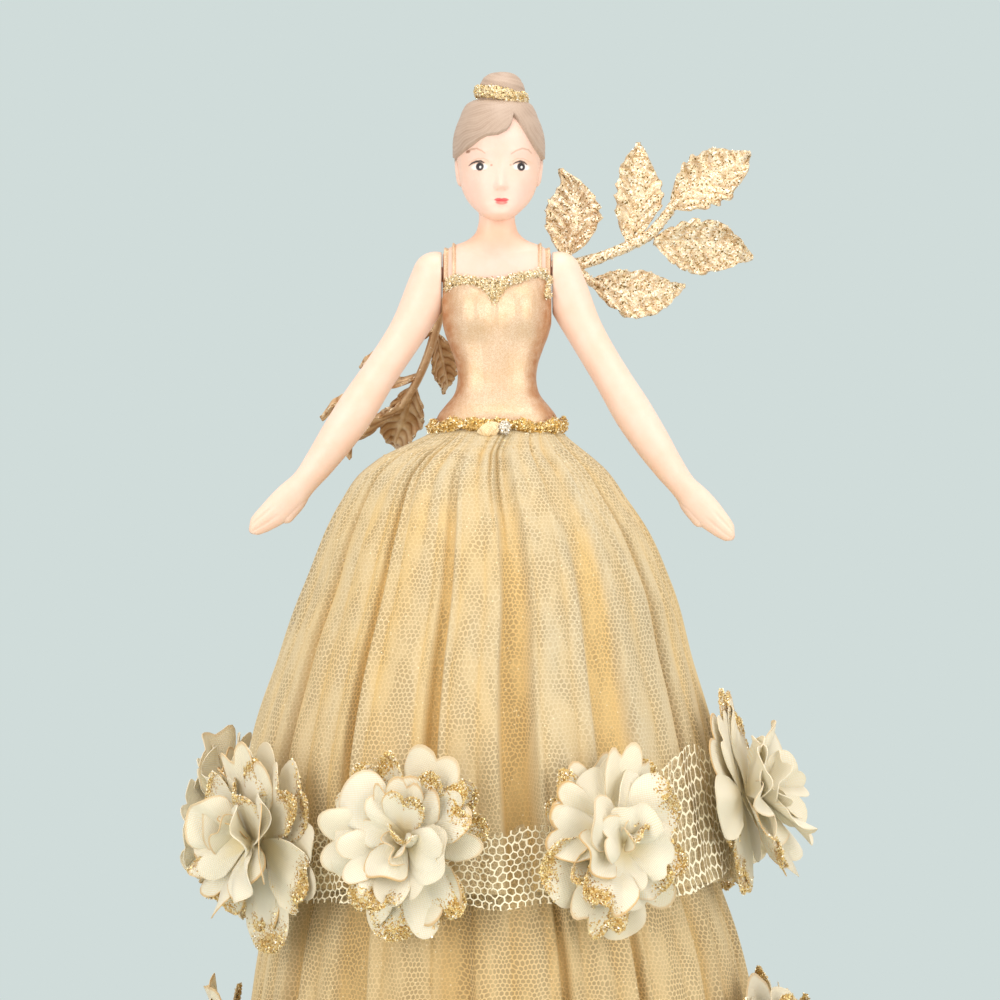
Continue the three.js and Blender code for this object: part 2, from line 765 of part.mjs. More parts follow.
// Thumb on the inner edge of the hand, turned in from the hand's line
function thumb(axis) {
  const along = axis.getTangentAt(thumbPlaceShare);
  along.applyAxisAngle(new THREE.Vector3(0, 1, 0), thumbTurn * degrees);
  const across = new THREE.Vector3(-along.z, 0, along.x);
  const root = axis.getPointAt(thumbPlaceShare).addScaledVector(across, -thumbRadius);
  const rings = thumbSectionShares.map(([place, width]) => ringOf(thumbSides, (turn) => {
    const point = root.clone().addScaledVector(along, place * thumbLength);
    point.addScaledVector(across, thumbRadius * width * Math.cos(turn));
    point.y += thumbRadius * width * Math.sin(turn);
    return point;
  }));
  return solid(loft(rings));
}

// Leaf from its base to its tip: toothed edges, a raised midrib and edges cupped forwards
function leaf(base, tip, halfWidth) {
  const length = new THREE.Vector3().subVectors(tip, base);
  const front = new THREE.Vector3(0, -1, 0);
  front.addScaledVector(length, -front.dot(length) / length.lengthSq()).normalize();
  const side = new THREE.Vector3().crossVectors(front, length).normalize();
  const rings = [];
  for (let i = 0; i <= leafSteps; i += 1) {
    const place = i / leafSteps;
    const outline = Math.sin(Math.PI * place ** leafSkew) ** leafFullness;
    const swell = Math.max(outline, stemRadius / leafHalfWidth);
    const tooth = 1 + (i % 2 === 0 ? -leafToothShare : leafToothShare);
    const reach = halfWidth * swell * (i === 0 || i === leafSteps ? 1 / 2 : tooth);
    const cup = leafCup * swell;
    const place3 = (across, forward) => base.clone().addScaledVector(length, place)
      .addScaledVector(side, across).addScaledVector(front, forward);
    rings.push([
      place3(-reach, cup + leafThickness / 2),
      place3(0, leafThickness),
      place3(reach, cup + leafThickness / 2),
      place3(reach, cup - leafThickness / 2),
      place3(0, -leafThickness / 2),
      place3(-reach, cup - leafThickness / 2),
    ]);
  }
  return solid(loft(rings));
}

// One wing, out to +X, with its peg's axis through the origin of its mesh
function wing(stemShares, leafShares) {
  const at = (out, back, up) => new THREE.Vector3(out, back, up).multiplyScalar(wingSpan);
  const stem = solid(tube(stemShares.map((share) => at(...share)), stemRadius, stemSteps, stemSides));
  const leaves = leafShares.map((row) => (
    leaf(at(...row.slice(0, 3)), at(...row.slice(3, 6)), leafHalfWidth * row[6])
  ));
  const peg = bar(wingPegRadius, new THREE.Vector3(0, -wingPegReach, 0), new THREE.Vector3(0, stemRadius, 0));
  return geometryOf(joined([stem, ...leaves, peg]));
}

function coneRadiusAt(z) {
  return coneRimRadius + (coneTopRadius - coneRimRadius) * z / coneHeight;
}

function supportCone() {
  const innerTopRadius = coneRadiusAt(coneHeight - coneTopThickness) - coneWall;
  const hole = hipPlugRadius + seatClearance;
  const profile = [
    [coneRimRadius, 0],
    [coneTopRadius, coneHeight],
    [hole, coneHeight],
    [hole, coneHeight - coneTopThickness],
    [innerTopRadius, coneHeight - coneTopThickness],
    [coneRimRadius - coneWall, 0],
    [coneRimRadius, 0],
  ].map(([radius, height]) => new THREE.Vector2(radius, height));
  const cone = new THREE.LatheGeometry(profile, coneSides).rotateX(Math.PI / 2);
  return geometryOf(solid(cone));
}

// Skirt or lining wall between its outer face and an inner face a thickness inside it
function skirtWall(outerRings, innerRings) {
  return loft([...outerRings, ...innerRings.reverse()], true);
}

function shiftAt(drop) {
  return upperShift * readShare(shiftShares, shiftColumn, drop);
}

// Lining from the cone's top to the plane that the cone stands on. It leans with the upper skirt.
function lining() {
  const wall = (inset) => liningShares.map(([drop, width]) => ringOf(liningSides, (angle) => {
    const z = (liningTopZ - inset) * (1 - drop);
    const onCone = coneRadiusAt(z) + seatClearance + liningThickness;
    const radius = Math.max(onCone, liningHemRadius * width) - inset;
    const lowLean = THREE.MathUtils.smoothstep(z, lowerTopHeight, lowerTopHeight + upperHemRadius / 2);
    const lean = lowLean * THREE.MathUtils.smoothstep(liningTopZ - z, 0, coneTopRadius);
    const x = lean * shiftAt((upperTopZ - z) / (upperTopZ - upperHemHeight));
    return new THREE.Vector3(x + radius * Math.cos(angle), radius * Math.sin(angle), z);
  }));
  return skirtWall(wall(0), wall(liningThickness));
}

const upperSkirt = {
  shares: upperSkirtShares,
  topZ: upperTopZ,
  hemZ: upperHemHeight,
  hemRadius: upperHemRadius,
  foldDepth: upperFoldDepth,
  centreAt: shiftAt,
};
const lowerSkirt = {
  shares: lowerSkirtShares,
  topZ: lowerTopHeight,
  hemZ: lowerHemHeight,
  hemRadius: lowerHemRadius,
  foldDepth: lowerFoldDepth,
  centreAt: () => 0,
};

// Rings of a pleated skirt, each a wave between the folds' crests and valleys
function pleatedRings(skirt, inset) {
  return skirt.shares.map(([drop, width, fold]) => ringOf(skirtFolds * stepsPerFold, (angle) => {
    const valley = (1 - Math.cos(angle * skirtFolds)) / 2;
    const radius = skirt.hemRadius * width - skirt.foldDepth * fold * valley - inset;
    const z = skirt.topZ + (skirt.hemZ - skirt.topZ) * drop - inset * (1 - drop);
    return new THREE.Vector3(skirt.centreAt(drop) + radius * Math.cos(angle), radius * Math.sin(angle), z);
  }));
}

// Upper skirt, whose top ring is gathered in round the gown's hips
function upperSkirtWall() {
  const topShare = (upperTopZ - hipZ) / torsoHeight;
  const rings = [0, skirtThickness].map((inset) => {
    const margin = seatClearance + skirtThickness - inset;
    const hips = (angle) => torsoPoint(topShare, angle, margin).setZ(upperTopZ - inset);
    return [ringOf(skirtFolds * stepsPerFold, hips), ...pleatedRings(upperSkirt, inset).slice(1)];
  });
  return skirtWall(...rings);
}

function lowerSkirtWall() {
  return skirtWall(pleatedRings(lowerSkirt, 0), pleatedRings(lowerSkirt, skirtThickness));
}

// Rise of a garland at an angle from the front, where it swoops up on her left side
function swagAt(swag, angle) {
  const away = THREE.MathUtils.euclideanModulo(angle - swagAngle * degrees + Math.PI, fullTurn) - Math.PI;
  return swag * bell(away, swagSpread * degrees);
}

// Crest radius of a skirt at a height, and the place of its middle there
function skirtCrest(skirt, z) {
  const drop = THREE.MathUtils.clamp((skirt.topZ - z) / (skirt.topZ - skirt.hemZ), 0, 1);
  return { radius: skirt.hemRadius * readShare(skirt.shares, widthColumn, drop), x: skirt.centreAt(drop) };
}

function rippleAt(angle) {
  return bandRipple * (1 + Math.cos(angle * bandRipples));
}

// Gathered net band round a skirt, open at the top and the bottom
function netBand(skirt, bottom, swag) {
  const wall = (inset) => [0, 1].map((level) => ringOf(bandSides, (angle) => {
    const z = bottom + bandHeight * level + swagAt(swag, angle);
    const crest = skirtCrest(skirt, z);
    const radius = crest.radius + seatClearance + bandThickness + rippleAt(angle) - inset;
    return new THREE.Vector3(crest.x + radius * Math.sin(angle), -radius * Math.cos(angle), z);
  }));
  return skirtWall(wall(0), wall(bandThickness));
}

// Layered rosette of notched petals, facing +Z from a flat back
function flower(spin) {
  const sides = flowerPetals * stepsPerPetal;
  const rings = flowerShares.map(([width, height, notch, offset]) => ringOf(sides, (angle) => {
    const petal = angle * flowerPetals / 2 + offset * Math.PI;
    const scallop = 1 - petalNotchShare * notch * (1 - Math.abs(Math.sin(petal)));
    const radius = flowerRadius * width * scallop;
    const turned = angle + spin;
    const across = radius * Math.cos(turned);
    return new THREE.Vector3(across, radius * flowerStretch * Math.sin(turned), flowerThickness * height);
  }));
  return loft(rings);
}

// Ripple that a flower's flat back rests on, at an angle and a radius of the band
function proudOfBand(angle, radius) {
  const halfTurn = flowerRadius * flowerShares[flowerShares.length - 1][0] / radius;
  const reaches = [-1, -0.5, 0, 0.5, 1].map((share) => (
    (radius + rippleAt(angle + share * halfTurn)) * Math.cos(share * halfTurn)
  ));
  return Math.max(...reaches) - radius;
}

// Flowers spread evenly round a band, each with its back flat on the band's slope
function garland(name, count, start, skirt, bandBottom, swag) {
  const ring = new THREE.Group();
  for (let i = 0; i < count; i += 1) {
    const angle = start * degrees + i / count * fullTurn;
    const [low, high] = [0, bandHeight].map((rise) => {
      const crest = skirtCrest(skirt, bandBottom + rise + swagAt(swag, angle));
      return crest.radius + crest.x * Math.sin(angle);
    });
    const slope = Math.atan((low - high) / bandHeight);
    const onSlope = low - flowerAboveBand * Math.tan(slope);
    const proud = proudOfBand(angle, low) + (2 * seatClearance + bandThickness) / Math.cos(slope);
    const spoke = new THREE.Group();
    spoke.rotation.z = angle;
    const bloom = piece(`${name}_${i + 1}`, flower(i * flowerSpin * degrees), creamPetal);
    bloom.position.set(0, -onSlope - proud, bandBottom + flowerAboveBand + swagAt(swag, angle));
    bloom.rotation.x = Math.PI / 2 - slope;
    spoke.add(bloom);
    ring.add(spoke);
  }
  return ring;
}

const frontCordY = -torsoDepth * readShare(torsoShares, frontColumn, waistHeight / torsoHeight)
  - seatClearance - waistCordThickness;

function waistCord() {
  const share = waistHeight / torsoHeight;
  const rings = Array.from({ length: waistCordSteps }, (_, i) => {
    const angle = i / waistCordSteps * fullTurn;
    return ringOf(waistCordSides, (turn) => {
      const margin = seatClearance + waistCordThickness / 2 * (1 + Math.cos(turn));
      return torsoPoint(share, angle, margin).setZ(waistZ + waistCordHalfHeight * Math.sin(turn));
    });
  });
  return loft(rings, true);
}

function waistKnot() {
  const y = frontCordY - seatClearance - knotHalfDepth;
  return ellipsoid(knotHalfWidth, knotHalfDepth, knotHalfHeight, knotX, y, waistZ);
}

function waistBead() {
  const y = frontCordY - seatClearance - waistBeadRadius;
  return ellipsoid(waistBeadRadius, waistBeadRadius, waistBeadRadius, waistBeadX, y, waistZ);
}

const topper = new THREE.Group();
topper.add(piece('support_cone', supportCone(), greyCard));
topper.add(piece('skirt_lining', lining(), creamSatin));
topper.add(piece('lower_skirt', lowerSkirtWall(), oldGoldTulle));
topper.add(piece('upper_skirt', upperSkirtWall(), goldTulle));
topper.add(piece('upper_net_band', netBand(upperSkirt, upperBandZ, upperSwag), creamPetal));
topper.add(piece('hem_net_band', netBand(lowerSkirt, hemBandZ, hemSwag), creamPetal));
topper.add(garland('upper_flower', upperFlowers, upperFlowerStart, upperSkirt, upperBandZ, upperSwag));
topper.add(garland('hem_flower', hemFlowers, hemFlowerStart, lowerSkirt, hemBandZ, hemSwag));

topper.add(piece('bodice', geometryOf(bodice()), goldPaint));
topper.add(piece('head_and_shoulders', geometryOf(headAndShoulders()), skin));
topper.add(piece('hair', geometryOf(hair()), brownHair));
topper.add(piece('bun_band', bunBand(), goldGlitter));
topper.add(piece('neckline_trim', geometryOf(necklineTrim()), goldGlitter));
topper.add(piece('left_strap', geometryOf(strap(1)), goldPaint));
topper.add(piece('right_strap', geometryOf(strap(-1)), goldPaint));
topper.add(piece('waist_cord', waistCord(), goldGlitter));
topper.add(piece('waist_knot', waistKnot(), creamPetal));
topper.add(piece('waist_bead', waistBead(), silverGlitter));

const leftArm = piece('left_arm', arm(leftArmAxisShares), skin);
leftArm.position.set(shoulderSeatX, 0, shoulderZ);
const rightArm = piece('right_arm', mirroredX(arm(rightArmAxisShares)), skin);
rightArm.position.set(-shoulderSeatX, 0, shoulderZ);
topper.add(leftArm, rightArm);

const leftWing = piece('left_wing', wing(raisedStemShares, raisedLeafShares), bronzeLeaf);
leftWing.position.set(wingPegX, wingBackDepth, wingPegZ);
const rightWing = piece('right_wing', mirroredX(wing(droopedStemShares, droopedLeafShares)), bronzeLeaf);
rightWing.position.set(-wingPegX, wingBackDepth, wingPegZ);
topper.add(leftWing, rightWing);

export default topper;
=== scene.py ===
import math

import bpy
import numpy as np
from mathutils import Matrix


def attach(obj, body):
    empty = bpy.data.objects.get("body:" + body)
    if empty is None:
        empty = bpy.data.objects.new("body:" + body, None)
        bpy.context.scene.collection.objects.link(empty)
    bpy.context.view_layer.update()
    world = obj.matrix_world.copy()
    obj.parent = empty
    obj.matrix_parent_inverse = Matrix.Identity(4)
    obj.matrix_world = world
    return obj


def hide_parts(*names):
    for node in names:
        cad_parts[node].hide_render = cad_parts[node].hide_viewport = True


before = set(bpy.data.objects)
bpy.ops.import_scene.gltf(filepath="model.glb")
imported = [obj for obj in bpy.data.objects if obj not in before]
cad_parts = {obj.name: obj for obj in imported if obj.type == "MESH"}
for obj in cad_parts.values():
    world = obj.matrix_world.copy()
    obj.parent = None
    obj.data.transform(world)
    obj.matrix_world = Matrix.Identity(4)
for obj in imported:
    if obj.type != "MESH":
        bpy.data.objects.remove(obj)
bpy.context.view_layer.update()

# Fairy tree topper. Lengths are millimetres until a mesh is built, in the frame's own place: +Z up,
# she faces -Y and her left side is +X. Heights on the doll count from the hips.
MM = 0.001
TURN = 2 * math.pi
DOLL = "doll_and_skirts"

SEAT_CLEARANCE = 0.3
CONE_HEIGHT, CONE_RIM_RADIUS, CONE_TOP_RADIUS = 198.7, 60, 13.5
HIP_Z = 199
HIP_PLUG_RADIUS, HIP_PLUG_LENGTH = 7, 11
TORSO_HEIGHT, TORSO_HALF_WIDTH, TORSO_DEPTH, SQUARENESS = 66, 15.2, 9.6, 2.4
BUST_DEPTH, BUST_SPACING, BUST_HEIGHT, BUST_WIDTH, BUST_RISE = 2.6, 13.4, 38.5, 5.4, 6.2
NECKLINE_HEIGHT, NECKLINE_DIP, NECKLINE_DIP_WIDTH, NECKLINE_CENTRE, NECKLINE_BACK = 46.3, 5.2, 2.3, -0.8, 49.4
TRIM_TAIL = 5.5
STRAP_INNER_EDGE, STRAP_WIDTH = 10.9, 3.3
SHOULDER_SEAT_X, SHOULDER_HEIGHT, SHOULDER_BALL = 14.4, 47.3, 1.9
SHOULDER_Z = HIP_Z + SHOULDER_HEIGHT
ARM_LENGTH, ARM_WIDTH, ARM_PEG_RADIUS, ARM_PEG_LENGTH = 84, 5.2, 2, 3.8
THUMB_LENGTH, THUMB_RADIUS, THUMB_LEAN = 10.5, 1.5, math.radians(8)
CHIN_HEIGHT, HEAD_HEIGHT, HEAD_HALF_WIDTH, HEAD_DEPTH, HEAD_X, FACE_X = 61.3, 31.2, 11.2, 11.6, 0.5, 1.0
EYE_HEIGHT, EYE_SPACING, NOSE_HEIGHT, LIP_HEIGHT = 75.8, 10.9, 70.6, 66.65
FACE_LIFT = 0.6
EAR_HEIGHT = 74.2
HAIR_THICKNESS, HAIR_FRONT_DEPTH, NAPE_HEIGHT = 1.1, 3.4, 67.5
BUN_X, BUN_RADIUS, BUN_HEIGHT, BUN_RISE, BUN_BAND_HEIGHT = 1.2, 5.9, 94.3, 6.7, 95
WAIST_HEIGHT, WAIST_CORD_HALF, WAIST_CORD_THICKNESS = 7, 3.1, 2.3
WAIST_Z = HIP_Z + WAIST_HEIGHT
UPPER_TOP_Z, UPPER_HEM_Z, UPPER_HEM_RADIUS, UPPER_FOLD, UPPER_SHIFT = 202.6, 84, 66, 4.2, -3.2
LOWER_TOP_Z, LOWER_HEM_Z, LOWER_HEM_RADIUS, LOWER_FOLD, LOWER_LEAN = 108, 6, 73.5, 3.4, 1.4
LINING_TOP_Z, LINING_HEM_RADIUS, LINING_THICKNESS, LINING_SLACK = 197.2, 69, 1.6, 3
FOLDS = 16
BAND_HEIGHT, BAND_THICKNESS, BAND_RIPPLE, BAND_RIPPLES = 17, 0.7, 0.7, 12
UPPER_BAND_Z, HEM_BAND_Z, UPPER_SWAG, HEM_SWAG = 82, 19, 10, 5
SWAG_ANGLE, SWAG_SPREAD = math.radians(75), math.radians(32)
FLOWER_STRETCH, FLOWER_ABOVE_BAND = 1.16, 15
WING_PEG_X, WING_PLANE, WING_PEG_Z, WING_SPAN = 10.8, 13, 244.3, 58
WING_PEG_RADIUS, WING_PEG_REACH = 1.1, 9
LEAF_HALF_WIDTH, LEAF_THICKNESS, LEAF_CUP, STEM_RADIUS = 6.6, 0.8, 1.6, 1
GLITTER_SIZE, SHARP_ANGLE = 0.42, math.radians(50)
# Extra length of the rows of a skirt towards its hem, as a power of the share down
ROW_POWER = 1.15

# Torso section: height share, half width, front depth and back depth
TORSO = [
    [0, 1.05, 1.2, 1.24], [0.1, 1.06, 1.2, 1.24], [0.15, 1.03, 1.15, 1.18], [0.19, 0.9, 1, 1.02],
    [0.23, 0.76, 0.88, 0.88], [0.285, 0.69, 0.8, 0.8], [0.35, 0.71, 0.82, 0.8], [0.415, 0.8, 0.88, 0.82],
    [0.475, 0.9, 0.93, 0.84], [0.565, 0.98, 0.96, 0.86], [0.66, 1, 0.92, 0.86], [0.73, 1, 0.84, 0.82],
    [0.785, 0.98, 0.74, 0.76], [0.815, 0.92, 0.66, 0.7], [0.835, 0.78, 0.6, 0.64],
    [0.855, 0.56, 0.56, 0.58], [0.88, 0.42, 0.53, 0.54], [0.92, 0.345, 0.51, 0.51],
    [1, 0.345, 0.51, 0.51],
]
# Head section: height share, half width, front reach and back reach
HEAD = [
    [0, 0.2, 0.8, -0.45], [0.03, 0.36, 0.93, -0.2], [0.08, 0.52, 0.99, 0.05], [0.16, 0.72, 0.99, 0.4],
    [0.25, 0.85, 0.98, 0.68], [0.34, 0.92, 0.97, 0.88], [0.43, 0.96, 0.96, 1], [0.52, 0.99, 0.96, 1.08],
    [0.61, 1, 0.97, 1.12], [0.7, 0.99, 0.95, 1.12], [0.79, 0.93, 0.88, 1.05], [0.87, 0.82, 0.76, 0.92],
    [0.94, 0.6, 0.55, 0.68], [0.985, 0.32, 0.28, 0.38],
]
# The same under the hair, which is drawn up fuller to the foot of the bun
HAIR = HEAD[:11] + [
    [0.87, 0.84, 0.78, 0.94], [0.94, 0.76, 0.66, 0.8], [0.975, 0.69, 0.56, 0.66], [1, 0.56, 0.45, 0.5],
]
# Neckline trim: x, height of its middle and half height
TRIM = [
    [-13.9, 43.7, 1.6], [-11.2, 45.3, 1.6], [-9, 45.5, 1.25], [-6.6, 45.2, 1.1], [-3.7, 44.1, 1.7],
    [-2, 42.9, 2.7], [-0.8, 42.3, 3.6], [0.5, 43.0, 2.7], [2.1, 44.4, 1.8], [5.6, 45.9, 1.3],
    [9.1, 46.9, 0.9], [11.4, 47.4, 0.95], [13.2, 46.8, 1.5],
]
# Hairline across the front: x and height. It peaks at the parting.
HAIRLINE = [
    [-11.5, 77.4], [-11, 77.8], [-8.6, 79.3], [-6.2, 80.8], [-4.3, 82.3], [-2.6, 83.1], [0.3, 83.4],
    [2.6, 84.6], [3.7, 86.3], [4.1, 88.6], [5.2, 87.5], [6.6, 85.2], [8, 83], [9.6, 80.4], [10.9, 78.7],
    [12.2, 76.8],
]
# Arm axes: out and down in shares of their length. Arm section: place, half width and half depth.
ARM_AXIS = {
    "left_arm": [
        [0, 0], [0.068, -0.15], [0.177, -0.339], [0.27, -0.49], [0.4, -0.675], [0.467, -0.748],
        [0.555, -0.83],
    ],
    "right_arm": [
        [0, 0], [0.072, -0.15], [0.194, -0.339], [0.293, -0.49], [0.43, -0.673], [0.497, -0.74],
        [0.588, -0.808],
    ],
}
ARM_SECTION = [
    [0, 1.17, 1.08], [0.07, 1.12, 1.02], [0.2, 0.95, 0.92], [0.36, 0.92, 0.9], [0.5, 1, 0.9],
    [0.6, 0.93, 0.83], [0.7, 0.78, 0.68], [0.775, 0.68, 0.55], [0.83, 0.78, 0.44], [0.88, 0.77, 0.38],
    [0.93, 0.66, 0.33], [0.97, 0.53, 0.27], [0.99, 0.4, 0.2], [1, 0.22, 0.1],
]
THUMB_SECTION = [[0, 0.7], [0.25, 1], [0.7, 0.85], [0.92, 0.6], [1, 0.3]]
# Flowers of the upper garland: turn in degrees, lift and size, as each was glued on by hand
UPPER_SET = [
    [5, 3, 1.13], [-2.5, 4.2, 1.08], [-4.5, 3.6, 1], [-1, 2.4, 1.1], [2, 3, 1.03], [-2, 3.4, 1.05],
    [1, 2.8, 1], [-1.5, 3.2, 1.05],
]
# The upper hem and its net band lie this much higher than the CAD's
GARLAND_LIFT = 4
# Garlands: place of the first flower in degrees from the front, and the number of flowers
UPPER_FIRST, UPPER_COUNT, HEM_FIRST, HEM_COUNT = -61, 8, -55, 9
# Skirts: drop, crest radius and fold depth in shares of those at the hem
LINING = [
    [0, 0.229], [0.009, 0.34], [0.0365, 0.425], [0.087, 0.525], [0.163, 0.622], [0.265, 0.71],
    [0.452, 0.765], [0.574, 0.793], [0.723, 0.872], [1, 0.985],
]
UPPER_SKIRT = [
    [0, 0.263, 0.1], [0.026, 0.386, 0.38], [0.056, 0.464, 0.45], [0.14, 0.582, 0.56],
    [0.317, 0.735, 0.72], [0.486, 0.836, 0.85], [0.7, 0.945, 0.95], [1, 1, 1],
]
LOWER_SKIRT = [[0, 0.747, 0.1], [0.235, 0.805, 0.6], [0.3, 0.836, 0.75], [0.524, 0.905, 0.9], [1, 1, 1]]
SHIFT = [[0, 0], [0.026, 0.75], [0.06, 1], [0.2, 0.85], [0.33, 0.7], [0.5, 1], [0.7, 1.05], [1, 0.3]]
# Wings in shares of the span from the peg: stems out, back and up; leaves base, tip, width,
# twist in degrees and bow to one side
RAISED_STEM = [
    [0, 0, 0], [0.09, 0, 0.09], [0.2, 0, 0.1], [0.298, 0.01, 0.129], [0.448, 0.02, 0.193],
    [0.522, 0.03, 0.235], [0.58, 0.03, 0.3], [0.63, 0.03, 0.37],
]
RAISED_LEAVES = [
    [0.135, 0, 0.125, 0.16, 0.05, 0.54, 1.1, 6, -0.17],
    [0.425, 0.02, 0.2, 0.448, 0.07, 0.668, 0.95, -8, -0.3],
    [0.625, 0.03, 0.36, 1.009, 0.1, 0.603, 1.12, 12, 0.14],
    [0.54, 0.03, 0.205, 1.009, 0.09, 0.156, 1.1, -10, 0],
    [0.25, 0, 0.01, 0.688, 0.06, -0.025, 0.97, 8, -0.38],
]
DROOPED_STEM = [
    [0, 0, 0], [0.07, 0.02, -0.11], [0.095, 0.04, -0.2], [0.14, 0.07, -0.34], [0.2, 0.1, -0.47],
    [0.26, 0.14, -0.56],
]
DROOPED_LEAVES = [
    [0.1, 0.04, -0.21, 0.47, 0.25, -0.385, 0.8, 58, 0],
    [0.17, 0.09, -0.42, 0.645, 0.3, -0.58, 0.7, 74, 0],
    [0.25, 0.13, -0.55, 0.54, 0.37, -0.775, 0.4, 84, 0],
    [0.2, 0.1, -0.47, 0.312, 0.4, -0.764, 0.82, -8, 0],
    [0.1, 0.04, -0.22, 0.04, 0.3, -0.502, 0.52, -20, 0],
]


def colour(red, green, blue):
    """Linear colour of a printed colour's three numbers from 0 to 255: each share, raised to 2.2."""
    return tuple(float(c) for c in (np.array([red, green, blue]) / 255) ** 2.2)


def read(table, column, place):
    """One column of a table along a smooth curve through its rows: a cubic between two rows, whose slope
    at a row is the mean of the slopes on both sides, weighed by the other side's step."""
    table = np.asarray(table, float)
    x, y = table[:, 0], table[:, column]
    step = np.diff(x)
    rise = np.diff(y) / step
    inner = (step[1:] * rise[:-1] + step[:-1] * rise[1:]) / (step[1:] + step[:-1])
    slope = np.concatenate([rise[:1], inner, rise[-1:]])
    place = np.clip(place, x[0], x[-1])
    i = np.clip(np.searchsorted(x, place, side="right") - 1, 0, len(x) - 2)
    t = (place - x[i]) / step[i]
    start = (2 * t**3 - 3 * t**2 + 1) * y[i] + (t**3 - 2 * t**2 + t) * step[i] * slope[i]
    return start + (3 * t**2 - 2 * t**3) * y[i + 1] + (t**3 - t**2) * step[i] * slope[i + 1]


def smooth(value, low, high):
    """0 at low, 1 at high, and 3t^2 - 2t^3 between them."""
    t = np.clip((value - low) / (high - low), 0, 1)
    return t * t * (3 - 2 * t)


def bell(value, width):
    """e to the minus (value / width) squared."""
    return np.exp(-((value / width) ** 2))


def noise(points, size, seed=0):
    """Smooth noise from -1 to 1: a scrambled value at each corner of cubes of a size, blended across
    the cube with the weights 3t^2 - 2t^3."""
    place = np.asarray(points, float) / size + seed * 17.31
    cell = np.floor(place).astype(np.int64)
    weight = place - cell
    weight = weight * weight * (3 - 2 * weight)
    total = 0
    for corner in np.ndindex(2, 2, 2):
        x, y, z = np.moveaxis(cell + np.array(corner), -1, 0)
        mixed = (x * 73856093) ^ (y * 19349663) ^ (z * 83492791)
        mixed = ((mixed ^ (mixed >> 13)) * 1274126177) & 0xFFFFFFFF
        value = ((mixed ^ (mixed >> 15)) & 0xFFFF) / 32767.5 - 1
        total = total + value * np.prod(np.where(np.array(corner) == 1, weight, 1 - weight), axis=-1)
    return total


def circle(count):
    """Angles of evenly spaced places round a circle."""
    return np.linspace(0, TURN, count, endpoint=False)


def points_of(x, y, z):
    """Points from their three coordinates, each spread over the others' grid."""
    return np.stack(np.broadcast_arrays(x, y, z), -1)


def closed(grid):
    """Grid with its first column again behind its last."""
    return np.concatenate([grid, grid[:, :1]], axis=1)


def strides(points, axis=0):
    """Distances from each point to the next one along an axis."""
    return np.linalg.norm(np.diff(points, axis=axis), axis=-1)


def normals_of(grid, wrap=False):
    """Unit normals of a grid of points: across its columns, crossed with up its rows."""
    if wrap:
        ringed = np.concatenate([grid[:, -1:], grid, grid[:, :1]], axis=1)
        along = np.gradient(ringed, axis=1)[:, 1:-1]
    else:
        along = np.gradient(grid, axis=1)
    normal = np.cross(along, np.gradient(grid, axis=0))
    return normal / np.maximum(np.linalg.norm(normal, axis=-1, keepdims=True), 1e-9)


def outward_normals(grid, middle, wrap=True):
    """Normals of a grid, all turned away from a middle."""
    normal = normals_of(grid, wrap)
    return normal * np.sign((normal * (grid - middle)).sum(-1, keepdims=True))


def rings(centres, across, other, half_width, half_depth, sides):
    """Ellipses round a row of centres: centre + across * half width * cos + other * half depth * sin."""
    turn = circle(sides)[None, :, None]
    wide = np.asarray(across)[:, None] * np.asarray(half_width)[:, None, None] * np.cos(turn)
    deep = np.asarray(other)[:, None] * np.asarray(half_depth)[:, None, None] * np.sin(turn)
    return np.asarray(centres)[:, None] + wide + deep


def peg(start, end, across, other, radius, sides):
    """Straight round peg from a start to an end."""
    return rings([start, end], [across] * 2, [other] * 2, [radius] * 2, [radius] * 2, sides)


def along_path(points, count):
    """Evenly spaced points and unit directions on a smooth curve through some points."""
    points = np.asarray(points, float)
    chord = np.concatenate([[0], np.cumsum(strides(points))])
    table = np.concatenate([chord[:, None], points], axis=1)
    fine = np.linspace(0, chord[-1], 400)
    curve = np.stack([read(table, 1 + k, fine) for k in range(3)], -1)
    length = np.concatenate([[0], np.cumsum(strides(curve))])
    at = np.linspace(0, length[-1], count)
    places = np.stack([np.interp(at, length, curve[:, k]) for k in range(3)], -1)
    direction = np.gradient(places, axis=0)
    return places, direction / np.linalg.norm(direction, axis=1, keepdims=True)


def tube(points, radius, count, sides, up=(0, 1, 0.01)):
    """Grid of rings round a smooth path, each square to the path's direction."""
    centres, direction = along_path(points, count)
    across = np.cross(direction, np.array(up, float))
    across /= np.linalg.norm(across, axis=1, keepdims=True)
    other = np.cross(direction, across)
    radius = np.broadcast_to(radius, count)
    return rings(centres, across, other, radius, radius, sides)


def grid_faces(rows, columns, wrap=False):
    index = np.arange(rows * columns).reshape(rows, columns)
    index = closed(index) if wrap else index
    return np.stack([index[:-1, :-1], index[:-1, 1:], index[1:, 1:], index[1:, :-1]], -1).reshape(-1, 4)


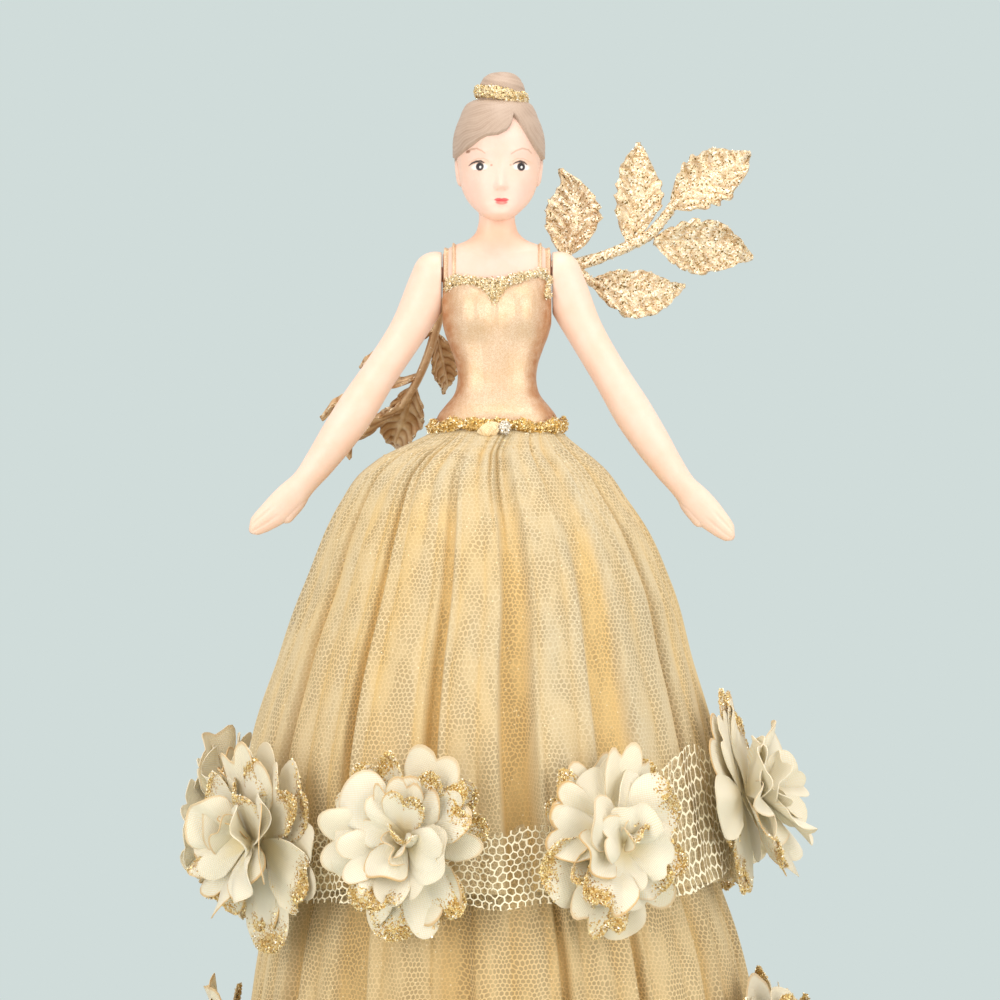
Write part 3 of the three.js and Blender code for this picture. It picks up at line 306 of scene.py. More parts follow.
class Shape:
    """Points and faces of one piece. A value is one number for each point, such as how deep it lies in
    a fold, and a place on the cloth is two numbers for each point or each corner of a face."""

    def __init__(self):
        self.points, self.faces, self.places, self.values, self.count = [], [], [], [], 0

    def add(self, points, faces, places=None, **values):
        points = np.asarray(points, float).reshape(-1, 3)
        corners = np.concatenate([np.asarray(group).ravel() for group in faces])
        if places is None:
            places = np.zeros((len(corners), 2))
        places = np.asarray(places, float).reshape(-1, 2)
        self.places.append(places[corners] if len(places) == len(points) else places)
        for group in faces:
            self.faces.append(np.asarray(group) + self.count)
        self.values.append({
            name: np.asarray(value, float).reshape(len(points), -1) for name, value in values.items()
        })
        self.points.append(points)
        self.count += len(points)
        return self

    def grid(self, grid, wrap=False, places=None, **values):
        """Open grid of points, joined round its columns when it wraps."""
        rows, columns = grid.shape[:2]
        return self.add(grid, [grid_faces(rows, columns, wrap)], places, **values)

    def body(self, grid, places=None, **values):
        """Closed body through rings of points, with a fan to the middle of its first and last ring."""
        rows, columns = grid.shape[:2]
        hubs = np.stack([grid[0].mean(0), grid[-1].mean(0)])
        points = np.concatenate([grid.reshape(-1, 3), hubs])
        around = np.arange(columns)
        after = np.roll(around, -1)
        first = np.stack([np.full(columns, rows * columns), after, around], 1)
        last_ring = (rows - 1) * columns
        last = np.stack([np.full(columns, rows * columns + 1), last_ring + around, last_ring + after], 1)
        quads, fans = grid_faces(rows, columns, True), np.concatenate([first, last])
        whole = np.concatenate([quads[:, :3], quads[:, [0, 2, 3]], fans])
        a, b, c = (points[whole[:, k]] - points.mean(0) for k in (0, 1, 2))
        if (a * np.cross(b, c)).sum() < 0:
            quads, fans = quads[:, ::-1], fans[:, ::-1]
        if places is not None:
            values = dict(values, places=places)
        ends = {name: np.asarray(value, float).reshape(rows * columns, -1) for name, value in values.items()}
        ends = {name: np.concatenate([value, value[:1], value[-1:]]) for name, value in ends.items()}
        return self.add(points, [quads, fans], **ends)

    def blade(self, grid, thickness, places=None, **values):
        """Thin closed body: a grid of points moved half a thickness to both sides along its normals, and
        joined round its rim."""
        rows, columns = grid.shape[:2]
        count = rows * columns
        normal = normals_of(grid) * thickness / 2
        index = np.arange(count).reshape(rows, columns)
        rim = np.concatenate([index[0, :-1], index[:-1, -1], index[-1, :0:-1], index[:0:-1, 0]])
        after = np.roll(rim, -1)
        front = grid_faces(rows, columns)
        edge = np.stack([after, rim, rim + count, after + count], 1)
        if places is not None:
            values = dict(values, places=places)
        twice = {name: np.concatenate([np.reshape(value, (count, -1))] * 2) for name, value in values.items()}
        both = np.concatenate([grid + normal, grid - normal])
        return self.add(both, [np.concatenate([front, front[:, ::-1] + count, edge])], **twice)

    def grains(self, places, radius, random, flat=0.5):
        """Glitter: a three-sided flake at each place, low and pointed, turned and sized at random."""
        count = len(places)
        quaternion = random.normal(size=(count, 4))
        w, x, y, z = (quaternion / np.linalg.norm(quaternion, axis=1, keepdims=True)).T
        turn = np.stack([
            1 - 2 * (y * y + z * z), 2 * (x * y - z * w), 2 * (x * z + y * w),
            2 * (x * y + z * w), 1 - 2 * (x * x + z * z), 2 * (y * z - x * w),
            2 * (x * z - y * w), 2 * (y * z + x * w), 1 - 2 * (x * x + y * y),
        ], -1).reshape(count, 3, 3)
        foot = -flat / 2
        tips = np.array([[1.1, 0, foot], [-0.55, 0.95, foot], [-0.55, -0.95, foot], [0, 0, flat]])
        sides = np.array([[0, 1, 3], [1, 2, 3], [2, 0, 3], [0, 2, 1]])
        size = radius * random.uniform(0.6, 1.25, count)
        points = np.einsum("nij,kj->nki", turn, tips) * size[:, None, None] + np.asarray(places)[:, None]
        faces = sides[None] + len(tips) * np.arange(count)[:, None, None]
        tint = np.repeat(random.uniform(0, 1, count), len(tips))
        return self.add(points, [faces.reshape(-1, 3)], tint=tint)

    def area(self):
        """Total area of the faces in square metres."""
        points = np.concatenate(self.points)
        total = 0
        for group in self.faces:
            corner = points[group]
            one, other = corner[:, 2] - corner[:, 0], corner[:, 1] - corner[:, -1]
            total += np.linalg.norm(np.cross(one, other), axis=1).sum()
        return total / 2 * MM * MM


def piece(name, shape, finish, body, replaced=(), flat_sides=False, crisp=False):
    """Object of a shape, in metres, that rides on a body and stands for the nodes it replaces. A crisp
    one keeps its edges, such as a petal's rim, sharp."""
    mesh = bpy.data.meshes.new(name)
    points = np.concatenate(shape.points) * MM
    corners = np.concatenate([group.ravel() for group in shape.faces])
    sizes = np.concatenate([np.full(len(group), group.shape[1]) for group in shape.faces])
    mesh.vertices.add(len(points))
    mesh.vertices.foreach_set("co", points.astype(np.float32).ravel())
    mesh.loops.add(len(corners))
    mesh.loops.foreach_set("vertex_index", corners.astype(np.int32))
    mesh.polygons.add(len(sizes))
    mesh.polygons.foreach_set("loop_start", (np.cumsum(sizes) - sizes).astype(np.int32))
    mesh.polygons.foreach_set("use_smooth", np.full(len(sizes), not flat_sides))
    mesh.update(calc_edges=True)
    places = np.concatenate(shape.places)
    if np.any(places):
        mesh.uv_layers.new(name="cloth").data.foreach_set("uv", places.astype(np.float32).ravel())
    counts = [len(group) for group in shape.points]
    for key in sorted({key for values in shape.values for key in values}):
        width = max(values[key].shape[1] for values in shape.values if key in values)
        whole = np.concatenate([
            values.get(key, np.zeros((count, width))) for values, count in zip(shape.values, counts)
        ])
        kind, output = "FLOAT", "value"
        if width > 1:
            whole = np.concatenate([whole, np.ones((len(whole), 1))], axis=1)
            kind, output = "FLOAT_COLOR", "color"
        mesh.attributes.new(key, kind, "POINT").data.foreach_set(output, whole.astype(np.float32).ravel())
    mesh.validate()
    if crisp:
        mesh.set_sharp_from_angle(angle=SHARP_ANGLE)
    mesh.materials.append(finish)
    made = bpy.data.objects.new(name, mesh)
    bpy.context.scene.collection.objects.link(made)
    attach(made, body)
    if replaced:
        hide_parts(*replaced)
    return made


def loose_grains(name, grains, finish, body=DOLL):
    return piece(name, grains, finish, body, flat_sides=True)


class Finish:
    """A material and its nodes. Plain numbers are set on the shader's own sockets."""

    def __init__(self, name, **sockets):
        self.material = bpy.data.materials.new(name)
        self.material.use_nodes = True
        self.tree = self.material.node_tree
        self.shader = self.tree.nodes["Principled BSDF"]
        for socket, value in sockets.items():
            self.set(socket.replace("_", " "), value)
        self.place = self.tree.nodes.new("ShaderNodeTexCoord").outputs["Object"]

    def set(self, socket, value):
        self.feed(self.shader.inputs[socket], value)

    def feed(self, socket, value):
        if isinstance(value, bpy.types.NodeSocket):
            self.tree.links.new(value, socket)
        elif isinstance(value, tuple) and len(value) == 3 and len(socket.default_value) == 4:
            socket.default_value = (*value, 1)
        else:
            socket.default_value = value

    def node(self, kind, inputs, **settings):
        made = self.tree.nodes.new("ShaderNode" + kind)
        for name, value in settings.items():
            setattr(made, name, value)
        for key, value in inputs.items():
            self.feed(made.inputs[key], value)
        return made

    def math(self, operation, *values):
        return self.node("Math", dict(enumerate(values)), operation=operation).outputs[0]

    def vector(self, operation, *values):
        made = self.node("VectorMath", dict(enumerate(values)), operation=operation)
        return made.outputs["Value"] if operation in ("DOT_PRODUCT", "LENGTH") else made.outputs[0]

    def mix(self, share, first, second):
        inputs = {0: share, 6: first, 7: second}
        return self.node("Mix", inputs, data_type="RGBA").outputs[2]

    def ramp(self, value, low, high, start=0.0, end=1.0):
        inputs = {"Value": value, "From Min": low, "From Max": high, "To Min": start, "To Max": end}
        return self.node("MapRange", inputs, interpolation_type="SMOOTHSTEP").outputs[0]

    def shades(self, value, *stops):
        made = self.node("ValToRGB", {0: value})
        band = made.color_ramp
        while len(band.elements) < len(stops):
            band.elements.new(1)
        for element, (place, shade) in zip(band.elements, stops):
            element.position = place
            element.color = (*shade, 1)
        return made.outputs[0]

    def attribute(self, name, output="Fac"):
        return self.node("Attribute", {}, attribute_name=name).outputs[output]

    def cloth_place(self):
        return self.node("UVMap", {}, uv_map="cloth").outputs[0]

    def noise(self, size, detail=3.0, roughness=0.55, place=None):
        """Noise whose patches are a size in millimetres across."""
        inputs = {"Vector": place or self.place, "Scale": 1 / (size * MM), "Detail": detail}
        return self.node("TexNoise", {**inputs, "Roughness": roughness}).outputs[0]

    def wandered(self, place, scale, detail, reach):
        """Cloth places moved to and fro by soft noise, by up to half a reach in millimetres."""
        wander = self.node("TexNoise", {"Vector": place, "Scale": scale, "Detail": detail}).outputs["Color"]
        moved = self.vector("SUBTRACT", wander, (0.5, 0.5, 0.5))
        return self.vector("ADD", place, self.vector("MULTIPLY", moved, (reach, reach, 0)))

    def bands(self, direction, **inputs):
        """Soft bands of a weave, from 0 to 1 across each thread."""
        inputs = {name.replace("_", " "): value for name, value in inputs.items()}
        return self.node("TexWave", inputs, wave_type="BANDS", bands_direction=direction).outputs[0]

    def parts(self, shade):
        """Red, green and blue of a colour, which for a cell are its three random numbers."""
        return self.node("SeparateColor", {0: shade}).outputs

    def cells(self, size):
        """Random cells of a size in millimetres across."""
        return self.node("TexVoronoi", {"Vector": self.place, "Scale": 1 / (size * MM)}, feature="F1").outputs

    def bump(self, height, depth, strength=1.0, normal=None):
        """Bump of a depth in millimetres where the height is 1."""
        inputs = {"Height": height, "Distance": depth * MM, "Strength": strength}
        if normal:
            inputs["Normal"] = normal
        return self.node("Bump", inputs).outputs[0]

    def net(self, place, pitch, thread):
        """1 on the threads of a hexagonal net and 0 in its holes. The nearest of two shifted grids of
        cell centres gives the way to the cell's middle, and a thread lies where the largest of that
        way's three parts across the cell's sides is near half the pitch."""
        cell = self.vector("DIVIDE", place, (pitch, pitch, 1))
        size = (1, math.sqrt(3), 1)
        half = (0.5, math.sqrt(3) / 2, 0)
        first = self.vector("SUBTRACT", self.vector("WRAP", cell, size, (0, 0, 0)), half)
        moved = self.vector("SUBTRACT", cell, half)
        second = self.vector("SUBTRACT", self.vector("WRAP", moved, size, (0, 0, 0)), half)
        nearer = self.math("LESS_THAN", self.vector("LENGTH", first), self.vector("LENGTH", second))
        way = self.node("Mix", {0: nearer, 4: second, 5: first}, data_type="VECTOR").outputs[1]
        way = self.vector("ABSOLUTE", way)
        slanted = self.vector("DOT_PRODUCT", way, (0.5, math.sqrt(3) / 2, 0))
        straight = self.vector("DOT_PRODUCT", way, (1, 0, 0))
        reach = self.math("MAXIMUM", slanted, straight)
        return self.ramp(reach, 0.5 - thread * 1.3, 0.5 - thread * 0.7)


def flakes_normal(finish, size, tilt):
    """Normal turned a random way in each small cell, as glitter lies: the surface's normal plus the
    cell's random colour less a half, times the tilt."""
    cell = finish.cells(size)
    plain = finish.node("NewGeometry", {}).outputs["Normal"]
    away = finish.vector("SUBTRACT", cell["Color"], (0.5, 0.5, 0.5))
    tilted = finish.node("VectorMath", {0: away, "Scale": tilt}, operation="SCALE").outputs[0]
    return finish.vector("NORMALIZE", finish.vector("ADD", plain, tilted)), cell


def glitter(name, dark, middle, bright):
    """Glitter set in glue: every cell has its own shade and its own tilt."""
    finish = Finish(name, Metallic=0.6, Roughness=0.35)
    normal, cell = flakes_normal(finish, GLITTER_SIZE, 1.2)
    dark, middle, bright = colour(*dark), colour(*middle), colour(*bright)
    stops = (0, dark), (0.2, middle), (0.7, middle), (1, bright)
    finish.set("Base Color", finish.shades(finish.parts(cell["Color"])[0], *stops))
    finish.set("Normal", finish.bump(cell["Distance"], 0.12, normal=normal))
    return finish.material


def flake(name, dark, middle, bright):
    """Loose glitter grains, each of one shade."""
    finish = Finish(name, Metallic=0.55, Roughness=0.3)
    stops = (0, colour(*dark)), (0.12, colour(*middle)), (0.6, colour(*bright)), (1, (1, 0.97, 0.88))
    finish.set("Base Color", finish.shades(finish.attribute("tint"), *stops))
    return finish.material


def skin_finish():
    """Painted skin on soft plastic: the painted colour of each point, with faint mottling."""
    finish = Finish("skin", Roughness=0.45, Subsurface_Weight=0.08, Subsurface_Scale=0.002)
    finish.set("Subsurface Radius", (1.0, 0.6, 0.4))
    finish.set("Coat Weight", 0.08)
    finish.set("Coat Roughness", 0.35)
    mottle = finish.ramp(finish.noise(4, 4), 0.3, 0.7, 0.0, 0.22)
    paint = finish.attribute("paint", "Color")
    inputs = {0: mottle, 6: paint, 7: colour(255, 226, 206)}
    warm = finish.node("Mix", inputs, data_type="RGBA", blend_type="MULTIPLY").outputs[2]
    finish.set("Base Color", warm)
    finish.set("Roughness", finish.ramp(finish.noise(1.2, 4), 0.3, 0.7, 0.38, 0.5))
    finish.set("Normal", finish.bump(finish.noise(0.5, 3), 0.015))
    return finish.material


def hair_finish():
    """Taupe paint, with painted shade down in the grooves between the strands, and fine hairs along them."""
    finish = Finish("hair_paint", Roughness=0.45)
    groove = finish.attribute("groove")
    fine = finish.noise(0.5, 4)
    light = finish.mix(fine, colour(180, 157, 138), colour(196, 173, 154))
    # Painted shade: the grooves take the darker taupe.
    finish.set("Base Color", finish.mix(groove, light, colour(160, 134, 115)))
    finish.set("Roughness", finish.ramp(fine, 0.3, 0.7, 0.4, 0.55))
    finish.set("Normal", finish.bump(finish.noise(0.35, 3), 0.03))
    return finish.material


def gown_finish():
    """Satin metallic gold paint: fine pigment flakes, and painted shade in copper towards the sides of the
    torso, near the neckline and between the strap cords, uneven in patches.
    """
    finish = Finish("gold_paint", Metallic=0.42, Roughness=0.45)
    flakes = finish.cells(0.18)
    parts = finish.parts(flakes["Color"])
    gold = finish.mix(finish.ramp(parts[0], 0.2, 0.9), colour(222, 189, 154), colour(238, 215, 188))
    cloudy = finish.ramp(finish.noise(7, 5), 0.35, 0.75, 0.0, 0.5)
    gold = finish.mix(cloudy, gold, colour(212, 172, 124))
    uneven_shade = finish.ramp(finish.noise(2.5, 4), 0.25, 0.7, 0.45, 1)
    # Painted shade: the thin value sets where the copper shade is laid.
    thin = finish.math("MULTIPLY", finish.attribute("thin"), uneven_shade)
    finish.set("Base Color", finish.mix(thin, gold, colour(182, 124, 78)))
    finish.set("Roughness", finish.ramp(finish.noise(1.5, 4), 0.3, 0.7, 0.42, 0.52))
    grain = finish.bump(parts[0], 0.01)
    brushed = finish.noise(2.2, 3, place=finish.vector("MULTIPLY", finish.place, (1, 1, 0.12)))
    finish.set("Normal", finish.bump(brushed, 0.3, normal=grain))
    return finish.material


def tulle_finish(name, crest, valley, pitch, thread, haze):
    """Fine hexagonal tulle, its cells drawn wide by the gathers, with glitter specks. Between the threads
    it is hazy, and more so at a glancing angle, where the threads close up. The valley colour is painted
    shade down in the folds, creases and puckers and a little in the haze between the threads; it is also
    laid as a random tone on some panels."""
    finish = Finish(name, Roughness=0.8, Sheen_Weight=0.15, Sheen_Roughness=0.4)
    finish.set("Sheen Tint", colour(255, 230, 170))
    place = finish.vector("MULTIPLY", finish.cloth_place(), (1, 0.9, 1))
    threads = finish.net(finish.wandered(place, 0.2, 1.0, 2.6), pitch, thread)
    fold = finish.attribute("valley")
    facing = finish.node("LayerWeight", {"Blend": 0.35}).outputs["Facing"]
    hanging = finish.vector("MULTIPLY", finish.place, (1, 1, 0.2))
    patch = finish.ramp(finish.noise(7, 3, place=hanging), 0.3, 0.75, 0.0, 0.25)
    # Painted shade: the valley colour darkens the folds, and a little the haze between the threads.
    shade = finish.mix(finish.math("ADD", fold, patch), colour(*crest), colour(*valley))
    hole = finish.math("MULTIPLY", finish.math("SUBTRACT", 1.0, threads), 0.2)
    shade = finish.mix(hole, shade, colour(*valley))
    specks = finish.cells(0.55)
    lit = finish.math("GREATER_THAN", finish.parts(specks["Color"])[0], 0.975)
    spark = finish.math("MULTIPLY", lit, finish.math("LESS_THAN", specks["Distance"], 0.25))
    finish.set("Base Color", finish.mix(spark, shade, colour(255, 248, 222)))
    finish.set("Metallic", finish.math("MULTIPLY", spark, 0.8))
    cover = finish.math("MAXIMUM", threads, spark)
    closed = finish.ramp(facing, 0.35, 0.85, haze, haze + 0.3)
    crossed = finish.ramp(finish.noise(6, 3, place=hanging), 0.38, 0.62, 0.0, 0.34)
    finish.set("Alpha", finish.math("MAXIMUM", cover, finish.math("ADD", closed, crossed)))
    finish.set("Normal", finish.bump(threads, 0.06))
    return finish.material


def net_finish():
    """Coarse cream hexagonal net of round threads."""
    finish = Finish("cream_net", Roughness=0.65, Sheen_Weight=0.3)
    threads = finish.net(finish.wandered(finish.cloth_place(), 0.12, 2.0, 3.4), 2.1, 0.09)
    finish.set("Base Color", finish.mix(finish.noise(0.4, 2), colour(252, 236, 194), colour(255, 248, 222)))
    finish.set("Alpha", threads)
    finish.set("Normal", finish.bump(threads, 0.12))
    return finish.material


def petal_finish():
    """Cream silk: a close plain weave, with painted shade in warm gold deep in the flower, amber where the
    cut edge was sealed, and gold dust round a glittered tip. Light shines warm through it."""
    finish = Finish("petal", Roughness=0.75, Sheen_Weight=0.4, Sheen_Roughness=0.35)
    place = finish.cloth_place()
    thread = {"Vector": place, "Scale": 0.56, "Distortion": 0.7, "Detail": 1.0, "Detail_Scale": 0.3}
    warp, weft = [finish.bands(direction, **thread) for direction in ("X", "Y")]
    crossed = finish.math("MULTIPLY", finish.math("SUBTRACT", warp, 0.5), finish.math("SUBTRACT", weft, 0.5))
    weave = finish.ramp(crossed, -0.14, 0.14)
    cream = finish.mix(weave, colour(252, 238, 204), colour(255, 254, 242))
    cloudy = finish.ramp(finish.noise(5, 3), 0.35, 0.8, 0.0, 0.4)
    cream = finish.mix(cloudy, cream, colour(255, 250, 226))
    # Painted shade: warm gold deep in the flower, near the petals' base and on the back layers.
    deep = finish.mix(finish.attribute("heart"), cream, colour(255, 236, 182))
    edge = finish.ramp(finish.attribute("edge"), 0.95, 0.99)
    sealed = finish.math("MULTIPLY", edge, finish.attribute("seal"))
    sealed = finish.mix(sealed, deep, colour(228, 182, 108))
    dust = finish.cells(0.36)
    lit = finish.parts(dust["Color"])
    dusty = finish.math("MULTIPLY", finish.attribute("dust"), 1.7)
    dusty = finish.math("GREATER_THAN", dusty, finish.math("ADD", lit[0], 0.12))
    stops = (0, colour(162, 108, 40)), (0.4, colour(222, 174, 88)), (1, colour(255, 238, 176))
    finish.set("Base Color", finish.mix(dusty, sealed, finish.shades(lit[1], *stops)))
    finish.set("Metallic", finish.math("MULTIPLY", dusty, 0.4))
    finish.set("Roughness", finish.mix(dusty, (0.75,) * 3, (0.35,) * 3))
    woven, strength = finish.bump(weave, 0.09), finish.math("MULTIPLY", dusty, 0.8)
    finish.set("Normal", finish.bump(dust["Distance"], 0.1, strength, normal=woven))
    thin = finish.node("BsdfTranslucent", {"Color": finish.mix(0.7, cream, colour(255, 240, 194))}).outputs[0]
    both = finish.node("MixShader", {0: 0.2, 1: finish.shader.outputs[0], 2: thin}).outputs[0]
    output = next(n for n in finish.tree.nodes if n.type == "OUTPUT_MATERIAL")
    finish.tree.links.new(both, output.inputs[0])
    return finish.material


def leaf_finish():
    """Leaves with pale gold glitter on the front, and a plain bronze back with dull patches; both have painted
    shade down in the grooves between the ribs.
    """
    finish = Finish("bronze_leaf", Metallic=0.6, Roughness=0.36)
    normal, cell = flakes_normal(finish, GLITTER_SIZE, 0.7)
    parts = finish.parts(cell["Color"])
    gold = finish.shades(
        parts[0], (0, colour(110, 90, 50)), (0.09, colour(166, 138, 84)), (0.18, colour(226, 200, 160)),
        (0.7, colour(238, 216, 180)), (1, colour(255, 250, 232)),
    )
    # Painted shade: the grooves between the ribs are darker, on the glitter and on the bronze.
    gold = finish.mix(finish.attribute("groove"), gold, colour(176, 134, 82))
    patch = finish.noise(3, 4)
    bronze = finish.mix(finish.ramp(patch, 0.3, 0.75), colour(196, 158, 116), colour(226, 196, 156))
    bronze = finish.mix(finish.attribute("groove"), bronze, colour(158, 112, 68))
    coated = finish.math("GREATER_THAN", finish.attribute("coat"), parts[1])
    finish.set("Base Color", finish.mix(coated, bronze, gold))
    finish.set("Metallic", finish.math("ADD", finish.math("MULTIPLY", coated, 0.1), 0.35))
    finish.set("Roughness", finish.mix(coated, (0.44,) * 3, (0.38,) * 3))
    plain = finish.bump(finish.noise(0.8, 3), 0.05)
    finish.set("Normal", finish.node("Mix", {0: coated, 4: plain, 5: normal}, data_type="VECTOR").outputs[1])
    return finish.material


def card_finish():
    """Pale grey card: fibres, faint scuffs and a slightly darker cut edge at the rim."""
    finish = Finish("card", Roughness=0.9)
    fibres = finish.noise(0.7, 6, 0.7)
    height = finish.node("SeparateXYZ", {0: finish.place}).outputs[2]
    base = finish.mix(fibres, colour(214, 206, 190), colour(230, 224, 210))
    scuffed = finish.ramp(finish.noise(14, 5), 0.5, 0.75, 0.0, 0.5)
    base = finish.mix(scuffed, base, colour(200, 190, 172))
    rim = finish.ramp(height, 0.0025, 0.0, 0.0, 0.5)
    finish.set("Base Color", finish.mix(rim, base, colour(176, 164, 142)))
    finish.set("Normal", finish.bump(fibres, 0.08))
    return finish.material


def lining_finish():
    """Thin gold satin: long floats across a close weave."""
    finish = Finish("lining_satin", Roughness=0.55, Sheen_Weight=0.3)
    weft = finish.bands("Y", Vector=finish.cloth_place(), Scale=0.5, Distortion=1.2, Detail=2.0)
    base = finish.mix(finish.noise(12, 3), colour(240, 212, 152), colour(248, 222, 166))
    floats = finish.ramp(weft, 0.2, 0.9, 0.0, 0.35)
    finish.set("Base Color", finish.mix(floats, base, colour(232, 198, 134)))
    finish.set("Roughness", finish.ramp(weft, 0.1, 0.9, 0.5, 0.65))
    finish.set("Normal", finish.bump(weft, 0.05))
    return finish.material


def ribbon_finish():
    """Pale folded ribbon with a close weave."""
    finish = Finish("ribbon", Roughness=0.5, Sheen_Weight=0.4)
    weave = finish.bands("DIAGONAL", Vector=finish.place, Scale=900.0, Distortion=1.0)
    finish.set("Base Color", finish.mix(weave, colour(228, 200, 152), colour(246, 224, 180)))
    finish.set("Normal", finish.bump(weave, 0.05))
    return finish.material


skin = skin_finish()
hair_paint = hair_finish()
gold_paint = gown_finish()
# Tulle: crest colour, valley colour (the painted shade in the folds), net pitch, thread share and haze.
gold_tulle, gold_tulle_under, old_gold_tulle, old_gold_tulle_under = [tulle_finish(*row) for row in (
    ("gold_tulle", (206, 192, 160), (220, 187, 126), 1.2, 0.14, 0.52),
    ("gold_tulle_under", (223, 205, 166), (228, 196, 138), 1.0, 0.16, 0.74),
    ("old_gold_tulle", (222, 201, 158), (210, 177, 120), 1.2, 0.14, 0.48),
    ("old_gold_tulle_under", (230, 207, 158), (206, 174, 116), 1.0, 0.16, 0.7),
)]
cream_net = net_finish()
petal_cloth = petal_finish()
leaf_gold = leaf_finish()
gold_glitter = glitter("gold_glitter", (128, 92, 36), (208, 166, 90), (255, 236, 178))
pale_glitter = glitter("pale_glitter", (140, 112, 68), (226, 200, 152), (255, 246, 220))
silver_glitter = glitter("silver_glitter", (150, 140, 126), (226, 218, 200), (255, 252, 240))
gold_flakes = flake("gold_flakes", (120, 90, 42), (212, 174, 100), (253, 234, 174))
pale_flakes = flake("pale_flakes", (126, 102, 56), (236, 210, 160), (255, 244, 214))
silver_flakes = flake("silver_flakes", (170, 160, 140), (236, 228, 210), (255, 252, 244))
satin = lining_finish()
ribbon = ribbon_finish()
card = card_finish()


def bust(x, depth_share, height):
    rise = np.exp(-np.abs((height - BUST_HEIGHT + 0.8) / BUST_RISE) ** 3)
    cup = bell(np.abs(x) - BUST_SPACING / 2, BUST_WIDTH) * rise
    return np.where(depth_share < 0, BUST_DEPTH * cup * np.minimum(1, -2 * depth_share), 0)


def torso(share, angle, margin=0.0):
    """Torso surface: a superellipse whose half axes come from the table, grown by a margin, less the
    bust in front. Above the arms' seats it is cut flat at the shoulders."""
    half_width = TORSO_HALF_WIDTH * read(TORSO, 1, share) + margin
    depth = np.where(np.sin(angle) < 0, read(TORSO, 2, share), read(TORSO, 3, share)) * TORSO_DEPTH + margin
    power = 2 / SQUARENESS
    x = half_width * np.sign(np.cos(angle)) * np.abs(np.cos(angle)) ** power
    y = depth * np.sign(np.sin(angle)) * np.abs(np.sin(angle)) ** power
    height = share * TORSO_HEIGHT
    y = y - bust(x, y / depth, height)
    seat = np.where(height > SHOULDER_HEIGHT - 15, SHOULDER_SEAT_X, 99)
    x = np.clip(x, -seat, seat)
    z = HIP_Z + height + margin * smooth(height, BUST_HEIGHT, SHOULDER_HEIGHT)
    return points_of(x, y, z)


def torso_face(x, height, column):
    """Place of the torso's front (column 2) or back (column 3) surface behind the middle."""
    share = height / TORSO_HEIGHT
    depth = TORSO_DEPTH * read(TORSO, column, share)
    out = np.minimum(1, np.abs(x) / (TORSO_HALF_WIDTH * read(TORSO, 1, share)))
    depth_share = (1 - out**SQUARENESS) ** (1 / SQUARENESS)
    if column == 3:
        return depth * depth_share
    return -depth * depth_share - bust(x, -depth_share, height)


def neckline(x):
    dip = np.exp(-np.sqrt((x - NECKLINE_CENTRE) ** 2 + 0.3) / NECKLINE_DIP_WIDTH)
    return NECKLINE_HEIGHT - NECKLINE_DIP * 1.2 * dip


def gown():
    """Moulded gown top: the torso up to the neckline, its rim turned in over the skin, with the faint
    mould lines down the middle and under the bust, and the plug that sits in the cone."""
    angle = circle(220)
    top = np.full(len(angle), float(NECKLINE_HEIGHT))
    for _ in range(5):
        x = torso(top / TORSO_HEIGHT, angle)[:, 0]
        behind = smooth(np.sin(angle), -0.25, 0.2)
        top = neckline(x) * (1 - behind) + NECKLINE_BACK * behind
    level = np.linspace(0, 1, 130)[:, None]
    share = level * top / TORSO_HEIGHT
    grid = torso(share, angle[None])
    height = share * TORSO_HEIGHT
    before = np.sin(angle)[None] < 0
    front = before * bell(grid[..., 0], 11)
    line = 0.06 * bell(height - 30.6, 0.3) * front * smooth(np.abs(grid[..., 0] - 1), 6, 4)
    seam = 0.1 * bell(grid[..., 0] - NECKLINE_CENTRE, 0.3) * smooth(height, 24, 30) * before
    grid[..., 1] -= line + seam - 0.06 * noise(grid, 5, 3)
    edges = (0, -0.2), (0.7, -0.7)
    rim = [torso((top - sunk) / TORSO_HEIGHT, angle, margin)[None] for sunk, margin in edges]
    grid = np.concatenate([grid, *rim])
    low = grid[..., 2] - HIP_Z
    # Painted shade: thin is copper shade towards the sides, where the torso turns away from the front, near the
    # neckline and a touch above the waist.
    thin = bell(low - 14, 4) * 0.05 + smooth(np.abs(np.cos(angle))[None], 0.5, 0.95) * 0.95
    thin = thin + smooth(low, 42, 48) * 0.25
    shape = Shape().body(grid, thin=np.clip(thin, 0, 1))
    low_end, high_end = [0, 0, HIP_Z - HIP_PLUG_LENGTH], [0, 0, HIP_Z + HIP_PLUG_RADIUS]
    plug = peg(low_end, high_end, [1, 0, 0], [0, 1, 0], HIP_PLUG_RADIUS, 40)
    shape.body(plug, thin=np.ones(plug.shape[:2]))
    piece("gown_top", shape, gold_paint, DOLL, ["bodice"])


